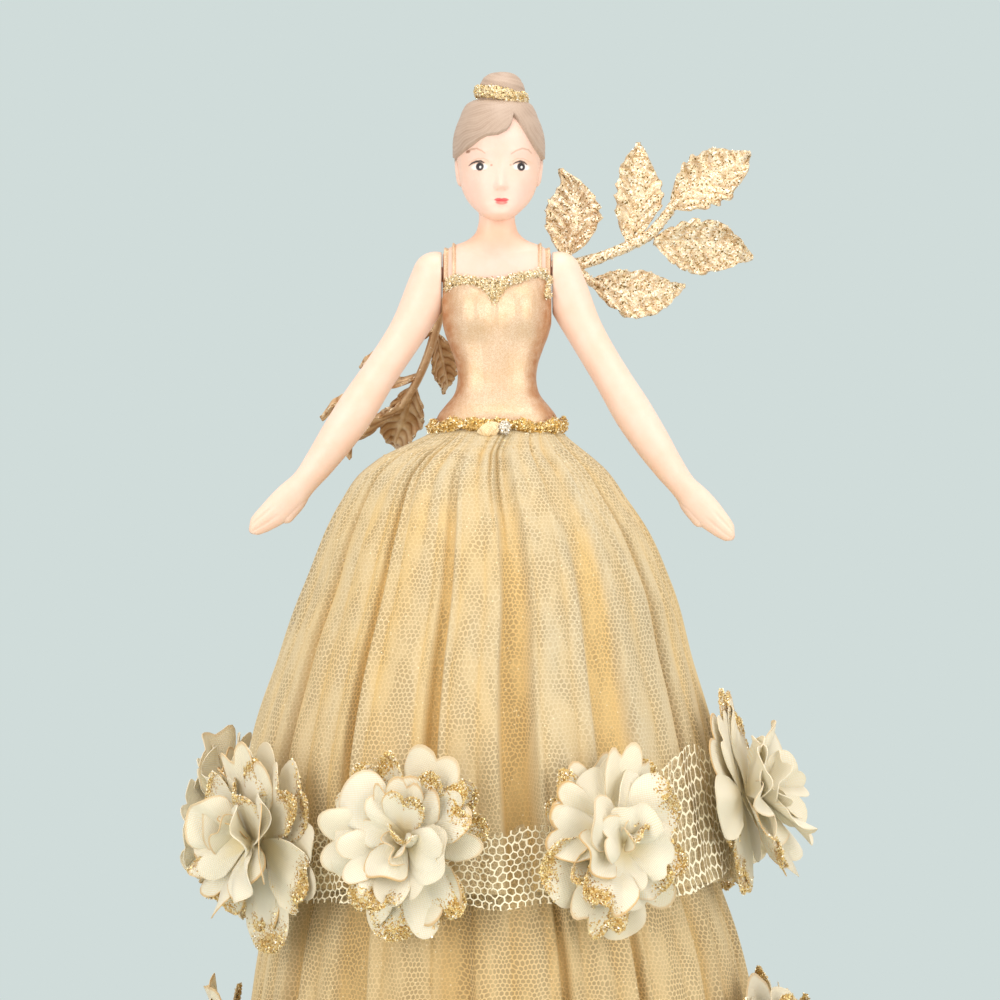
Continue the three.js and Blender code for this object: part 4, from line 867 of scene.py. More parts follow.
def face_relief(x, height):
    """Nose, lips, brows, cheeks and chin standing out of the plain face and the eyes lying back in
    their hollows, each a product of bells across and up the face."""
    across = x - (FACE_X - HEAD_X)
    height = height + FACE_LIFT
    aside = np.abs(across) - EYE_SPACING / 2
    bridge = smooth(height, 80, 71.6) * smooth(height, 69, 70.9)
    nose = 0.85 * bell(across, 1.3) * bridge + 0.7 * bell(across, 1.25) * bell(height - NOSE_HEIGHT, 1.1)
    wings = 0.2 * bell(np.abs(across) - 1.3, 0.6) * bell(height - NOSE_HEIGHT + 0.3, 0.75)
    eyes = -0.62 * bell(aside, 2.7) * bell(height - EYE_HEIGHT - 0.2, 1.9)
    balls = 0.4 * bell(aside, 1.9) * bell(height - EYE_HEIGHT, 1.15)
    lids = 0.16 * bell(aside, 2.3) * bell(height - EYE_HEIGHT - 1.35, 0.35)
    brows = 0.2 * bell(aside + 0.6, 3.2) * bell(height - 79.8, 1.1)
    upper = 0.4 * bell(across, 1.7) * bell(height - LIP_HEIGHT - 0.45, 0.45)
    lower = 0.46 * bell(across, 1.35) * bell(height - LIP_HEIGHT + 0.45, 0.5)
    parted = -0.16 * bell(across, 1.7) * bell(height - LIP_HEIGHT, 0.16)
    chin = 0.42 * bell(across, 2.4) * bell(height - 63.4, 1.5)
    chin = chin - 0.2 * bell(across, 2.3) * bell(height - 65, 0.6)
    cheeks = 0.28 * bell(np.abs(across) - 5.6, 2.6) * bell(height - 71, 2.6)
    return nose + wings + eyes + balls + lids + brows + upper + lower + parted + chin + cheeks


def head_grid(rows, columns, table, relief=True, top=0.985):
    """Head surface: at each height an ellipse from the front reach to the back reach, with closer
    steps across the face."""
    share = np.linspace(0, top, rows)[:, None]
    turn = circle(columns)[None]
    angle = turn - math.pi / 2 - 0.55 * np.sin(turn)
    half_width = HEAD_HALF_WIDTH * read(table, 1, share)
    front = HEAD_DEPTH * read(table, 2, share)
    back = HEAD_DEPTH * read(table, 3, share)
    x = half_width * np.cos(angle)
    height = CHIN_HEIGHT + share * HEAD_HEIGHT
    stand = np.where(np.sin(angle) < 0, face_relief(x, height), 0) if relief else 0
    y = (back - front) / 2 + (back + front) / 2 * np.sin(angle) - stand
    return points_of(HEAD_X + x, y, HIP_Z + height)


class Brush:
    """Paint of a grid's points, and the marks laid over it. Places are x and height in millimetres."""

    def __init__(self, paint, x, height):
        self.paint, self.x, self.height = paint, x, height

    def lay(self, shade, share):
        self.paint = self.paint + (np.array(shade) - self.paint) * share[..., None]

    def line(self, line, shade, strength=1.0):
        """Points near a row of (x, height, half width) take the shade, softly at the rim."""
        x, height = self.x, self.height
        cover = np.zeros_like(x)
        for (x0, h0, w0), (x1, h1, w1) in zip(line[:-1], line[1:]):
            length = max((x1 - x0) ** 2 + (h1 - h0) ** 2, 1e-9)
            t = np.clip(((x - x0) * (x1 - x0) + (height - h0) * (h1 - h0)) / length, 0, 1)
            away = np.hypot(x - x0 - t * (x1 - x0), height - h0 - t * (h1 - h0))
            width = w0 + t * (w1 - w0)
            cover = np.maximum(cover, 1 - smooth(away, width * 0.65, width * 1.25 + 0.03))
        self.lay(shade, cover * strength)

    def spot(self, middle, half_width, half_height, shade, strength=1.0, soft=0.25):
        """Oval of a shade, softly rimmed."""
        away = np.hypot((self.x - middle[0]) / half_width, (self.height - middle[1]) / half_height)
        self.lay(shade, (1 - smooth(away, 1 - soft, 1 + soft)) * strength)


def skin_paint(points):
    """Pale skin, warmer in soft random patches, and warmer under the chin as painted shade."""
    base, warm = np.array(colour(242, 209, 194)), np.array(colour(242, 200, 172))
    height = points[..., 2] - HIP_Z
    # Painted shade: the warm colour is laid most under the chin, at the neck; the noise adds a random warmer
    # tone.
    under = bell(height - 58, 4.2) * 0.75 + 0.16 * (noise(points, 9, 5) + 1)
    return base + (warm - base) * np.clip(under, 0, 1)[..., None]


def eye_paint(brush, side, middle):
    """Eye under its crease: a warm hollow, the white, a black iris with a brown glow and a light, and
    the line of the lower lid."""
    black, white = colour(30, 22, 24), colour(255, 254, 252)
    brush.spot((middle, 77.0), 2.6, 0.7, colour(240, 186, 150), 0.4, 0.6)
    brush.spot((middle + 0.1 * side, 75.7), 2.05, 0.92, white, 0.8, 0.25)
    brush.spot((middle, EYE_HEIGHT), 1.06, 1.1, black, 1, 0.12)
    brush.spot((middle, EYE_HEIGHT - 0.2), 0.72, 0.5, colour(82, 64, 66), 0.5, 0.3)
    brush.spot((middle, EYE_HEIGHT), 0.5, 0.5, black, 1, 0.15)
    brush.spot((middle + 0.12, EYE_HEIGHT - 0.12), 0.27, 0.31, white, 1, 0.25)
    crease = [
        (middle + side * 2.2, 77.3, 0.08), (middle + 0.4 * side, 78.0, 0.11),
        (middle - 1.0 * side, 77.9, 0.1), (middle - side * 2.3, 77.2, 0.06),
    ]
    brush.line(sorted(crease), colour(196, 146, 112), 0.45)
    under = [(middle - 1.6, 74.95, 0.06), (middle, 74.65, 0.08), (middle + 1.6, 74.95, 0.06)]
    brush.line(under, colour(226, 172, 140), 0.5)


def lip_paint(brush):
    """Coral lips, redder above, with a dark line between them and a shine on the lower one."""
    coral, red = colour(242, 112, 106), colour(230, 80, 84)
    brush.spot((1.2, LIP_HEIGHT - 0.35), 1.55, 0.56, coral, 0.95, 0.22)
    for x in (0.45, 1.95):
        brush.spot((x, LIP_HEIGHT + 0.35), 1.02, 0.4, red, 0.95, 0.25)
    parting = [(-0.65, 66.9, 0.1), (0.5, 66.7, 0.1), (1.2, 66.62, 0.07), (1.9, 66.7, 0.1), (3.05, 66.9, 0.1)]
    brush.line(parting, colour(196, 52, 62), 0.8)
    brush.spot((1.3, LIP_HEIGHT - 0.55), 0.75, 0.22, colour(255, 172, 158), 0.6, 0.5)


def face_paint(points):
    """Painted face on the skin: painted shade at the sides of the face and under the jaw, a faint blush, brows,
    eyes, lashes, lips and painted shade at the nostrils.
    """
    paint = skin_paint(points)
    x, height = points[..., 0], points[..., 2] - HIP_Z + FACE_LIFT
    brush = Brush(paint, x, height)
    # Painted shade: warmer towards the sides of the face and from below the lips down to the jaw.
    jaw = 0.5 * smooth(np.abs(x - HEAD_X), 6, 11) + 0.35 * smooth(height, 66, 61)
    brush.lay(colour(243, 205, 181), np.clip(jaw, 0, 1))
    for cheek in (-4.6, 6.6):
        brush.spot((cheek, 70.5), 3.4, 2.8, colour(247, 202, 186), 0.5, 0.9)
    right_brow = [
        (-8, 79.7, 0.24), (-6.9, 80.4, 0.28), (-5.3, 80.55, 0.22), (-4, 79.9, 0.15), (-3.1, 79.2, 0.08),
    ]
    left_brow = [(3.7, 79.0, 0.1), (5, 79.9, 0.18), (6.7, 80.6, 0.22), (8.3, 80.3, 0.22), (9.1, 79.5, 0.15)]
    for brow, strength in ((right_brow, 0.6), (left_brow, 0.5)):
        brush.line(brow, colour(176, 132, 100), strength)
    brush.spot((-7.6, 79.9), 0.55, 0.42, colour(138, 94, 68), 0.8, 0.4)
    for side, middle in ((-1, -4.5), (1, 6.36)):
        eye_paint(brush, side, middle)
    right_lash = [
        (-7.5, 76.1, 0.06), (-6.6, 76.75, 0.22), (-5.5, 77.15, 0.3), (-4.3, 77.25, 0.28), (-3.4, 76.8, 0.16),
    ]
    left_lash = [(4.1, 76.3, 0.06), (5.0, 76.9, 0.18), (6.2, 77.25, 0.29), (7.2, 76.95, 0.23), (7.9, 76.4, 0.1)]
    for lash in (right_lash, left_lash):
        brush.line(lash, colour(30, 22, 24), 0.95)
    brush.spot((-1.45, 76.1), 0.32, 0.24, colour(206, 118, 92), 0.75, 0.5)
    brush.spot((3.6, 76.2), 0.32, 0.24, colour(226, 152, 120), 0.65, 0.5)
    lip_paint(brush)
    # Painted shade in the nostrils.
    for nostril in (0.0, 2.1):
        brush.spot((nostril, 69.6), 0.34, 0.18, colour(236, 184, 158), 0.4, 0.5)
    return np.where((points[..., 1] < 0)[..., None], brush.paint, paint)


def ear(side):
    """Ear: a flat ball with a hollow pressed into its outer face and a rolled rim."""
    latitude = np.linspace(-1, 1, 30)[:, None] * math.pi / 2 * 0.985
    turn = circle(36)[None]
    x = np.cos(latitude) * np.cos(turn) * 1.45
    y = np.cos(latitude) * np.sin(turn) * 1.95
    z = np.sin(latitude) * 3.55 + 0 * turn
    hollow = bell(y - 0.1, 0.8) * bell(z - 0.3, 1.5)
    x = np.where(x > 0, x - 0.7 * hollow * (x > 0.3), x)
    x, y = x * 0.72 + 0.14 * z, y * 0.9
    ear_x = HEAD_HALF_WIDTH * read(HEAD, 1, (EAR_HEIGHT - CHIN_HEIGHT) / HEAD_HEIGHT)
    return np.stack([HEAD_X + side * (ear_x + x), y + 0.9 + 0.12 * z, HIP_Z + EAR_HEIGHT + z], -1)


def head_and_chest():
    """Head, ears, neck, chest and shoulders: the parts of one moulding."""
    shape = Shape()
    head = head_grid(160, 340, HEAD)
    shape.body(head, paint=face_paint(head))
    for side in (-1, 1):
        lobe = ear(side)
        shape.body(lobe, paint=skin_paint(lobe))
    stretches = (0.56, 0.78, 34), (0.784, 0.9, 40), (0.907, 1, 12)
    share = np.concatenate([np.linspace(*stretch) for stretch in stretches])[:, None]
    angle = circle(180)[None]
    chest = torso(share, angle, -0.25)
    x, height = chest[..., 0], chest[..., 2] - HIP_Z
    aside = np.abs(x)
    collar = 0.28 * bell(height - 52.3 - 0.1 * aside, 0.8) * smooth(aside, 2, 5) * smooth(aside, 13, 9)
    hollow = 0.35 * bell(height - 52.6, 1.0) * bell(x - 0.3, 1.3)
    chest[..., 1] -= (collar - hollow) * (np.sin(angle) < 0)
    shape.body(chest, paint=skin_paint(chest))
    piece("head_and_chest", shape, skin, DOLL, ["head_and_shoulders"])


def strands(points):
    """Grooves between moulded strands: waves across fans of lines that run from the temples up to the
    parting, one fan for each side of it. 1 down in a groove and 0 on a strand."""
    x, height = points[..., 0], points[..., 2] - HIP_Z
    wander = noise(points, 6, 2) * 1.8 + noise(points, 2.2, 4) * 0.7
    right_fan = np.arctan2(height - 93.5, x - 10)
    left_fan = np.arctan2(height - 96, x - 1.5)
    fan = np.where(x < 4.3 + 0.4 * (height - 89.4) * (height > 89.4), right_fan, left_fan)
    wave = 0.5 + 0.5 * np.sin(fan * 66 + wander * 2)
    fine = 0.5 + 0.5 * np.sin(fan * 196 + wander * 4.5)
    part = 0.5 + 0.5 * noise(points, 2.4, 9)
    return np.clip((0.3 * wave**3 + 0.5 * fine**2) * (0.2 + 1.1 * part), 0, 1)


def hair():
    """Hair cap: the head grown by the hair's thickness inside the hairline and sunk under the skin
    outside it, with grooved strands drawn up full to the bun's foot, and a bun of coiled strands."""
    grid = head_grid(150, 320, HAIR, False, 1.0)
    x, y, height = grid[..., 0], grid[..., 1], grid[..., 2] - HIP_Z
    line = np.interp(x, [row[0] for row in HAIRLINE], [row[1] for row in HAIRLINE])
    inside = np.maximum(np.minimum(y - HAIR_FRONT_DEPTH, height - NAPE_HEIGHT), (height - line) * 0.75)
    groove = strands(grid)
    grown = -0.5 + (HAIR_THICKNESS + 0.5) * smooth(inside, -0.25, 0.35)
    grown = grown - 0.08 * groove * smooth(inside, 0.1, 1)
    cap = grid + outward_normals(grid, np.array([HEAD_X, 1.0, HIP_Z + 78])) * grown[..., None]
    lowest_row = 39
    # The groove values of the cap and of the bun set the painted shade in the hair's grooves.
    shape = Shape().body(cap[lowest_row:], groove=groove[lowest_row:])
    turn = circle(110)[None]
    level = np.linspace(-0.75, 0.995, 70)[:, None]
    coil = 0.5 + 0.5 * np.sin(turn * 2 + level * 13 + 0.8 * np.sin(turn * 3))
    fine = 0.5 + 0.5 * np.sin(turn * 5 + level * 34)
    sunk = 1 - 0.025 * coil**2 - 0.012 * fine
    ring = (1 - np.abs(level) ** 2.5) ** (1 / 2.5) * (BUN_RADIUS + 0.45) * sunk
    height = HIP_Z + BUN_HEIGHT + level * BUN_RISE * (sunk * 0.3 + 0.7)
    bun = points_of(BUN_X + ring * np.cos(turn), ring * np.sin(turn), height)
    shape.body(bun, groove=0.28 * coil**2 + 0.2 * fine + 0 * bun[..., 0])
    piece("hair_cap", shape, hair_paint, DOLL, ["hair"])


def on_surface(grid, count, random, lift=0.0):
    """Random places on a wrapped grid, lifted along its normals."""
    rows, columns = grid.shape[:2]
    normal = normals_of(grid, True)
    i, j = random.integers(0, rows, count), random.integers(0, columns, count)
    jitter = random.normal(size=(count, 3)) * 0.15
    return grid[i, j] + normal[i, j] * lift + jitter


def lumpy(grid, depth, size, seed):
    """Grid moved along its normals by noise of two sizes."""
    normal = outward_normals(grid, grid.mean(1, keepdims=True))
    moved = depth * (noise(grid, size, seed) + 0.6 * noise(grid, size * 0.45, seed + 1))
    return grid + normal * moved[..., None]


def bun_band():
    """Glitter band round the bun: a lumpy ring, a little lower on her left, set with grains."""
    over = (BUN_BAND_HEIGHT - BUN_HEIGHT) / BUN_RISE
    middle = BUN_RADIUS * math.sqrt(1 - over**2) + SEAT_CLEARANCE + 0.35
    angle = np.linspace(0, TURN, 220)
    height = HIP_Z + BUN_BAND_HEIGHT - 0.35 - 1.15 * np.cos(angle)
    centres = points_of(BUN_X + middle * np.cos(angle), middle * np.sin(angle), height)
    out = points_of(np.cos(angle), np.sin(angle), 0 * angle)
    up = np.broadcast_to([0.0, 0, 1], out.shape)
    half_thick, half_tall = np.full(len(angle), 0.65), np.full(len(angle), 1.6)
    ring = lumpy(rings(centres, out, up, half_thick, half_tall, 22), 0.25, 0.8, 11)
    random = np.random.default_rng(11)
    piece("bun_band_glue", Shape().body(ring), pale_glitter, DOLL, ["bun_band"])
    grains = Shape().grains(on_surface(ring, 900, random, 0.05), 0.38, random)
    loose_grains("bun_band_grains", grains, gold_flakes)


def neckline_trim():
    """Glitter line along the sweetheart neckline: a band whose rings are tall at the dip and thin beside
    it, with a tail down her left side."""
    at = np.linspace(0, 1, 320)
    x = TRIM[0][0] + (TRIM[-1][0] - TRIM[0][0]) * at
    middle, tall = read(TRIM, 1, x), read(TRIM, 2, x)
    uneven = 1 + 0.1 * np.sin(x * 2.3) + 0.07 * np.sin(x * 5.1 + 1)
    path = np.stack([x, torso_face(x, middle, 2) - 0.2, HIP_Z + middle], -1)
    up, out = np.broadcast_to([0.0, 0, 1], path.shape), np.broadcast_to([0.0, -1, 0], path.shape)
    ends = np.clip(np.minimum(at, 1 - at) / 0.012, 0.2, 1) ** 0.5
    proud = 0.85 * (0.8 + 0.14 * tall) * ends
    band = lumpy(rings(path, up, out, tall * uneven * ends, proud, 24), 0.2, 0.8, 21)
    count = 60
    tail_z = np.linspace(NECKLINE_HEIGHT + 0.6, NECKLINE_HEIGHT - TRIM_TAIL, count)
    tail_x = SHOULDER_SEAT_X - 1.0 + 0.25 * np.sin(tail_z)
    tail = np.stack([tail_x, torso_face(tail_x, tail_z, 2) - 0.2, HIP_Z + tail_z], -1)
    thick = 0.85 + 0.25 * np.sin(np.linspace(0, 9, count))
    tail = lumpy(tube(tail, thick, count, 18), 0.2, 0.8, 22)
    random = np.random.default_rng(21)
    shape = Shape().body(band).body(tail)
    piece("neckline_glue", shape, pale_glitter, DOLL, ["neckline_trim"])
    places = [on_surface(grid, number, random, 0.05) for grid, number in ((band, 1900), (tail, 260))]
    grains = Shape().grains(np.concatenate(places), 0.3, random)
    loose_grains("neckline_grains", grains, pale_flakes)


def strap(side, name):
    """Two cords on a web over a shoulder: a strip along the torso's surface from the front neckline
    over the top to the gown's back edge, sunk in the skin but for two rounded ridges."""
    x = np.linspace(STRAP_INNER_EDGE, STRAP_INNER_EDGE + STRAP_WIDTH, 34)[None]
    share = np.linspace(0.7, 0.9, 600)
    width = TORSO_HALF_WIDTH * read(TORSO, 1, share)
    order = np.argsort(width)
    top = np.interp(x, width[order], share[order] * TORSO_HEIGHT) - 0.02
    step = np.linspace(-1, 1, 90)[:, None]
    low = np.where(step < 0, NECKLINE_HEIGHT - 0.6, NECKLINE_BACK - 0.6)
    height = low + (top - low) * np.cos(step * math.pi / 2) ** 0.7
    y = np.where(step < 0, torso_face(x, height, 2), torso_face(x, height, 3))
    grid = points_of(side * x, y, HIP_Z + height)
    across = (x - STRAP_INNER_EDGE) / STRAP_WIDTH
    ridge = np.maximum(bell(across - 0.17, 0.13), bell(across - 0.83, 0.13))
    thick = -0.42 + 0.9 * ridge
    normal = outward_normals(grid, np.array([0, 0, HIP_Z + 40]), False)
    outer, inner = grid + normal * (thick + 0 * height)[..., None], grid - normal * 0.7
    ring = np.concatenate([outer, inner[:, ::-1]], axis=1)
    # Painted shade: thin is copper shade between the two cords and on the inner face.
    thin = np.concatenate([1 - ridge + 0 * height, 0 * height + np.ones_like(ridge)], axis=1)
    piece(name + "_cords", Shape().body(ring, thin=thin * 0.45), gold_paint, DOLL, [name])


def arm(side, name):
    """Arm: rings along its curved axis with a round cap at the shoulder, the hand a flat mitt with
    shallow grooves between the fingers, a thumb and the peg in the shoulder's bore."""
    axis = [[SHOULDER_BALL + ARM_LENGTH * out, 0, ARM_LENGTH * up] for out, up in ARM_AXIS[name]]
    count, sides = 170, 72
    centres, direction = along_path(axis, count)
    place = np.linspace(0, 1, count)
    across = np.stack([-direction[:, 2], 0 * place, direction[:, 0]], -1)
    width, depth = ARM_WIDTH * read(ARM_SECTION, 1, place), ARM_WIDTH * read(ARM_SECTION, 2, place)
    cap = np.cos(np.linspace(0.06, math.pi / 2, 22))[:-1]
    shrink = np.sqrt(1 - cap**2)
    cap_centres = centres[0] - direction[0] * (width[0] * cap)[:, None]
    centres = np.concatenate([cap_centres, centres])
    across = np.concatenate([np.repeat(across[:1], len(cap), 0), across])
    width = np.concatenate([width[0] * shrink, width])
    depth = np.concatenate([depth[0] * shrink, depth])
    place = np.concatenate([np.zeros(len(cap)), place])
    direction = np.concatenate([np.repeat(direction[:1], len(cap), 0), direction])
    front = np.broadcast_to([0.0, 1, 0], across.shape)
    grid = rings(centres, across, front, width, depth, sides)
    turn = circle(sides)[None]
    u = np.cos(turn)
    hand = smooth(place, 0.875, 0.93)[:, None]
    finger = np.abs((u + 1) * 1.5 - np.round((u + 1) * 1.5))
    groove = hand * bell(finger, 0.15) * smooth(np.abs(u), 0.97, 0.8)
    grid[..., 1] -= np.sign(np.sin(turn)) * groove * 0.2 * (depth[:, None] / 1.6)
    stagger = smooth(place, 0.88, 1)[:, None] * (0.6 * u**2 + 0.5 * u)
    grid = grid - direction[:, None] * stagger[..., None]
    palm = 0.5 * bell(place[:, None] - 0.85, 0.05) * bell(u, 0.5)
    grid[..., 1] += palm * (np.sin(turn) > 0) * -1
    grid[..., 0] = np.maximum(grid[..., 0], SEAT_CLEARANCE)
    thumb_root = len(cap) + int(0.79 * (count - 1))
    centre, along = centres[thumb_root], direction[thumb_root]
    c, s = math.cos(THUMB_LEAN), math.sin(THUMB_LEAN)
    along = np.array([along[0] * c + along[2] * s, 0, along[2] * c - along[0] * s])
    sideways = np.array([-along[2], 0, along[0]])
    root = centre - sideways * THUMB_RADIUS * 1.2
    step = np.linspace(0, 1, 40)
    thick = THUMB_RADIUS * 1.3 * read(THUMB_SECTION, 1, step) * (1 - 0.4 * smooth(step, 0.93, 1))
    thumb_centres = root + step[:, None] * along * THUMB_LENGTH
    thumb_across, thumb_front = [np.repeat([way], len(step), 0) for way in (sideways, [0.0, 1, 0])]
    thumb = rings(thumb_centres, thumb_across, thumb_front, thick, thick * 0.74, 28)
    tip, seat = [-ARM_PEG_LENGTH, 0, 0], [SHOULDER_BALL, 0, 0]
    shoulder_peg = peg(tip, seat, [0, 1, 0], [0, 0, 1], ARM_PEG_RADIUS, 32)
    shape = Shape()
    base, warm = np.array(colour(243, 214, 196)), np.array(colour(243, 205, 178))
    for part, tips in (
        (grid, smooth(place, 0.9, 1)[:, None]), (thumb, smooth(step, 0.6, 1)[:, None]),
        (shoulder_peg, np.ones((2, 1))),
    ):
        part = part * [side, 1, 1] + [side * SHOULDER_SEAT_X, 0, SHOULDER_Z]
        warmth = 0.4 * tips + 0.2 * (noise(part, 9, 6) + 1)
        shape.body(part, paint=base + (warm - base) * np.clip(warmth, 0, 1)[..., None])
    piece(name + "_skin", shape, skin, name, [name])


def leaf_grid(base, tip, half_width, twist, bow, seed):
    """Leaf from its base to its tip: a wavy, toothed outline, a midrib, slanted side ribs, edges cupped
    forwards and a tip that hooks over. The twist turns its face about its length."""
    rows, columns = 84, 34
    length = tip - base
    facing = np.array([0.0, -1, 0])
    facing = facing - length * (facing @ length) / (length @ length)
    facing /= np.linalg.norm(facing)
    side = np.cross(facing, length)
    side /= np.linalg.norm(side)
    turned = math.radians(twist)
    c, s = math.cos(turned), math.sin(turned)
    facing, side = facing * c + side * s, side * c - facing * s
    t = np.linspace(0, 1, rows)[:, None]
    u = np.linspace(-1, 1, columns)[None]
    point, bend = (0.35, 0.42) if seed == 1 else (0.14, 0.24)
    swell = np.sin(math.pi * t**0.92) ** 0.8 * (1 - point * smooth(t, 0.58, 0.95))
    swell = np.maximum(swell, STEM_RADIUS / LEAF_HALF_WIDTH * (1 - 0.6 * t))
    beat = t * 5.2 + 0.3 * seed + 0.4 * np.sin(t * 9 + seed) + 0.25 * np.sign(u)
    tooth = 0.08 * (beat % 1 - 0.5) + 0.05 * np.sin(beat * TURN + seed) + 0.02 * np.sin(t * 43 + seed)
    reach = half_width * swell * (1 + smooth(np.abs(u), 0.3, 1) * smooth(t, 0.05, 0.2) * tooth)
    hook = bend * half_width * smooth(t, 0.76, 1) ** 1.5 * (1 if seed % 2 else -1)
    aside = hook + bow * half_width * np.sin(math.pi * t)
    ribs = np.cos((t - 0.2 * np.abs(u) * swell + 0.03 * np.sin(5 * u + seed)) * TURN * 7.5)
    cup = LEAF_CUP * swell * np.abs(u) ** 1.6
    wave = noise(points_of(t * 4, u * 1.8, 0 * t), 1, seed)
    curl = -1.6 * smooth(t, 0.82, 1) + 0.9 * wave + 0.5 * np.sin(t * 14 + seed) * u**2
    midrib = 0.7 * bell(u, 0.1) * (1 - 0.6 * t)
    forward = cup + 0.26 * ribs * swell * smooth(np.abs(u), 0.05, 0.3) + midrib + curl
    grid = base + length * t[..., None] + side * (reach * u + aside)[..., None] + facing * forward[..., None]
    # groove: where the side ribs dip, for the painted shade in the leaf's finish.
    groove = (0.5 - 0.5 * ribs) ** 2 * smooth(np.abs(u), 0.08, 0.3) + 0 * t
    return grid, groove, np.abs(u) + 0 * t


def wing(side, name, stem, leaves, coated):
    """Sprig of leaves on a stem with a peg in the gown's back. The raised one is coated with glitter
    in front, and the drooped one shows its plain ribbed back, with glitter only along its edges."""
    random = np.random.default_rng(31 + side)
    shape, grains = Shape(), Shape()
    offset = np.array([WING_PEG_X, WING_PLANE, WING_PEG_Z])
    flip = np.array([side, 1, 1])
    for k, row in enumerate(leaves):
        base, tip = np.array(row[:3]) * WING_SPAN, np.array(row[3:6]) * WING_SPAN
        grid, groove, out = leaf_grid(base, tip, LEAF_HALF_WIDTH * row[6], row[7], row[8], k + 1)
        if coated:
            lump = noise(grid, 1.6, 3 + k) * 0.34 + noise(grid, 0.7, 7) * 0.12
            grid = grid + np.array([0, -1, 0]) * lump[..., None]
        coat = np.full(out.shape, 0.97) if coated else smooth(out, 0.93, 1) * 0.35
        whole = (grid + offset) * flip
        whole = whole if side > 0 else whole[:, ::-1]
        groove = groove * (0.55 if coated else 0.9)
        groove, coat = [value if side > 0 else value[:, ::-1] for value in (groove, coat)]
        shape.blade(whole, LEAF_THICKNESS, groove=groove, coat=coat)
        count = 330 if coated else 40
        row_at = random.integers(2, grid.shape[0], count)
        rims = [0, 1, grid.shape[1] - 2, grid.shape[1] - 1]
        column_at = random.integers(0, grid.shape[1], count) if coated else random.choice(rims, count)
        lift = LEAF_THICKNESS / 2 * (1 if coated else 0)
        places = grid[row_at, column_at] + [0, -lift, 0] + random.normal(size=(count, 3)) * 0.1
        grains.grains((places + offset) * flip, 0.24 if coated else 0.17, random)
    branches = [(stem, 1.65 if coated else 1.35)]
    if coated:
        branches.append(([[0.13, 0, 0.1], [0.18, 0, 0.07], [0.225, 0, 0.03], [0.26, 0, 0.005]], 1.5))
    for points, stout in branches:
        thick = STEM_RADIUS * (stout - 0.3 * np.linspace(0, 1, 80))
        rod = tube(np.array(points) * WING_SPAN, thick, len(thick), 14)
        if coated:
            rod = lumpy(rod, 0.25, 0.9, 41)
            grains.grains((on_surface(rod, 170, random, 0.05) + offset) * flip, 0.24, random)
        coat = np.full(rod.shape[:2], 0.92 if coated else 0.02)
        shape.body((rod + offset) * flip, coat=coat, groove=np.zeros(rod.shape[:2]))
    root = peg([0, -WING_PEG_REACH, 0], [0, STEM_RADIUS, 0], [1, 0, 0], [0, 0, 1], WING_PEG_RADIUS, 24)
    plain = np.zeros(root.shape[:2])
    shape.body((root + offset) * flip, coat=plain, groove=plain + 0.5)
    loose_grains(name + "_grains", grains, pale_flakes, name)
    piece(name + "_sprig", shape, leaf_gold, name, [name], crisp=True)


def cone_radius(z):
    return CONE_RIM_RADIUS + (CONE_TOP_RADIUS - CONE_RIM_RADIUS) * z / CONE_HEIGHT


def lining_radius(z):
    """Radius of the hanging lining at a height, nowhere less than the cone's with a clearance."""
    own = LINING_HEM_RADIUS * read(LINING, 1, 1 - z / LINING_TOP_Z) - LINING_SLACK
    return np.maximum(cone_radius(z) + SEAT_CLEARANCE + LINING_THICKNESS, own)


def drop_at(z, top_z, hem_z):
    """Share of the way from a skirt's top to its hem at a height."""
    return np.clip((top_z - z) / (top_z - hem_z), 0, 1)


def shift(drop):
    return UPPER_SHIFT * read(SHIFT, 1, drop)


def cloth_places(grid, fold_of, crest_of):
    """Places on the cloth in millimetres for each corner: across, the length round the skirt from the
    crest of the same fold, so that the net keeps its size and breaks only down in the folds, and up,
    the mean length from the top row."""
    length = np.cumsum(strides(closed(grid), 1), axis=1)
    length = np.concatenate([np.zeros((len(grid), 1)), length], axis=1)
    # Each fold starts this much further along the cloth, so that the nets of two folds don't line up
    fold_offset = 13.37
    start = length[:, crest_of[fold_of]] - fold_offset * fold_of[None]
    left, right = length[:, :-1] - start, length[:, 1:] - start
    fall = strides(grid).mean(1)
    down = np.broadcast_to(np.concatenate([[0], np.cumsum(fall)])[:, None], left.shape)
    left, right = np.stack([left, down], -1), np.stack([right, down], -1)
    return np.stack([left[:-1], right[:-1], right[1:], left[1:]], 2).reshape(-1, 2)


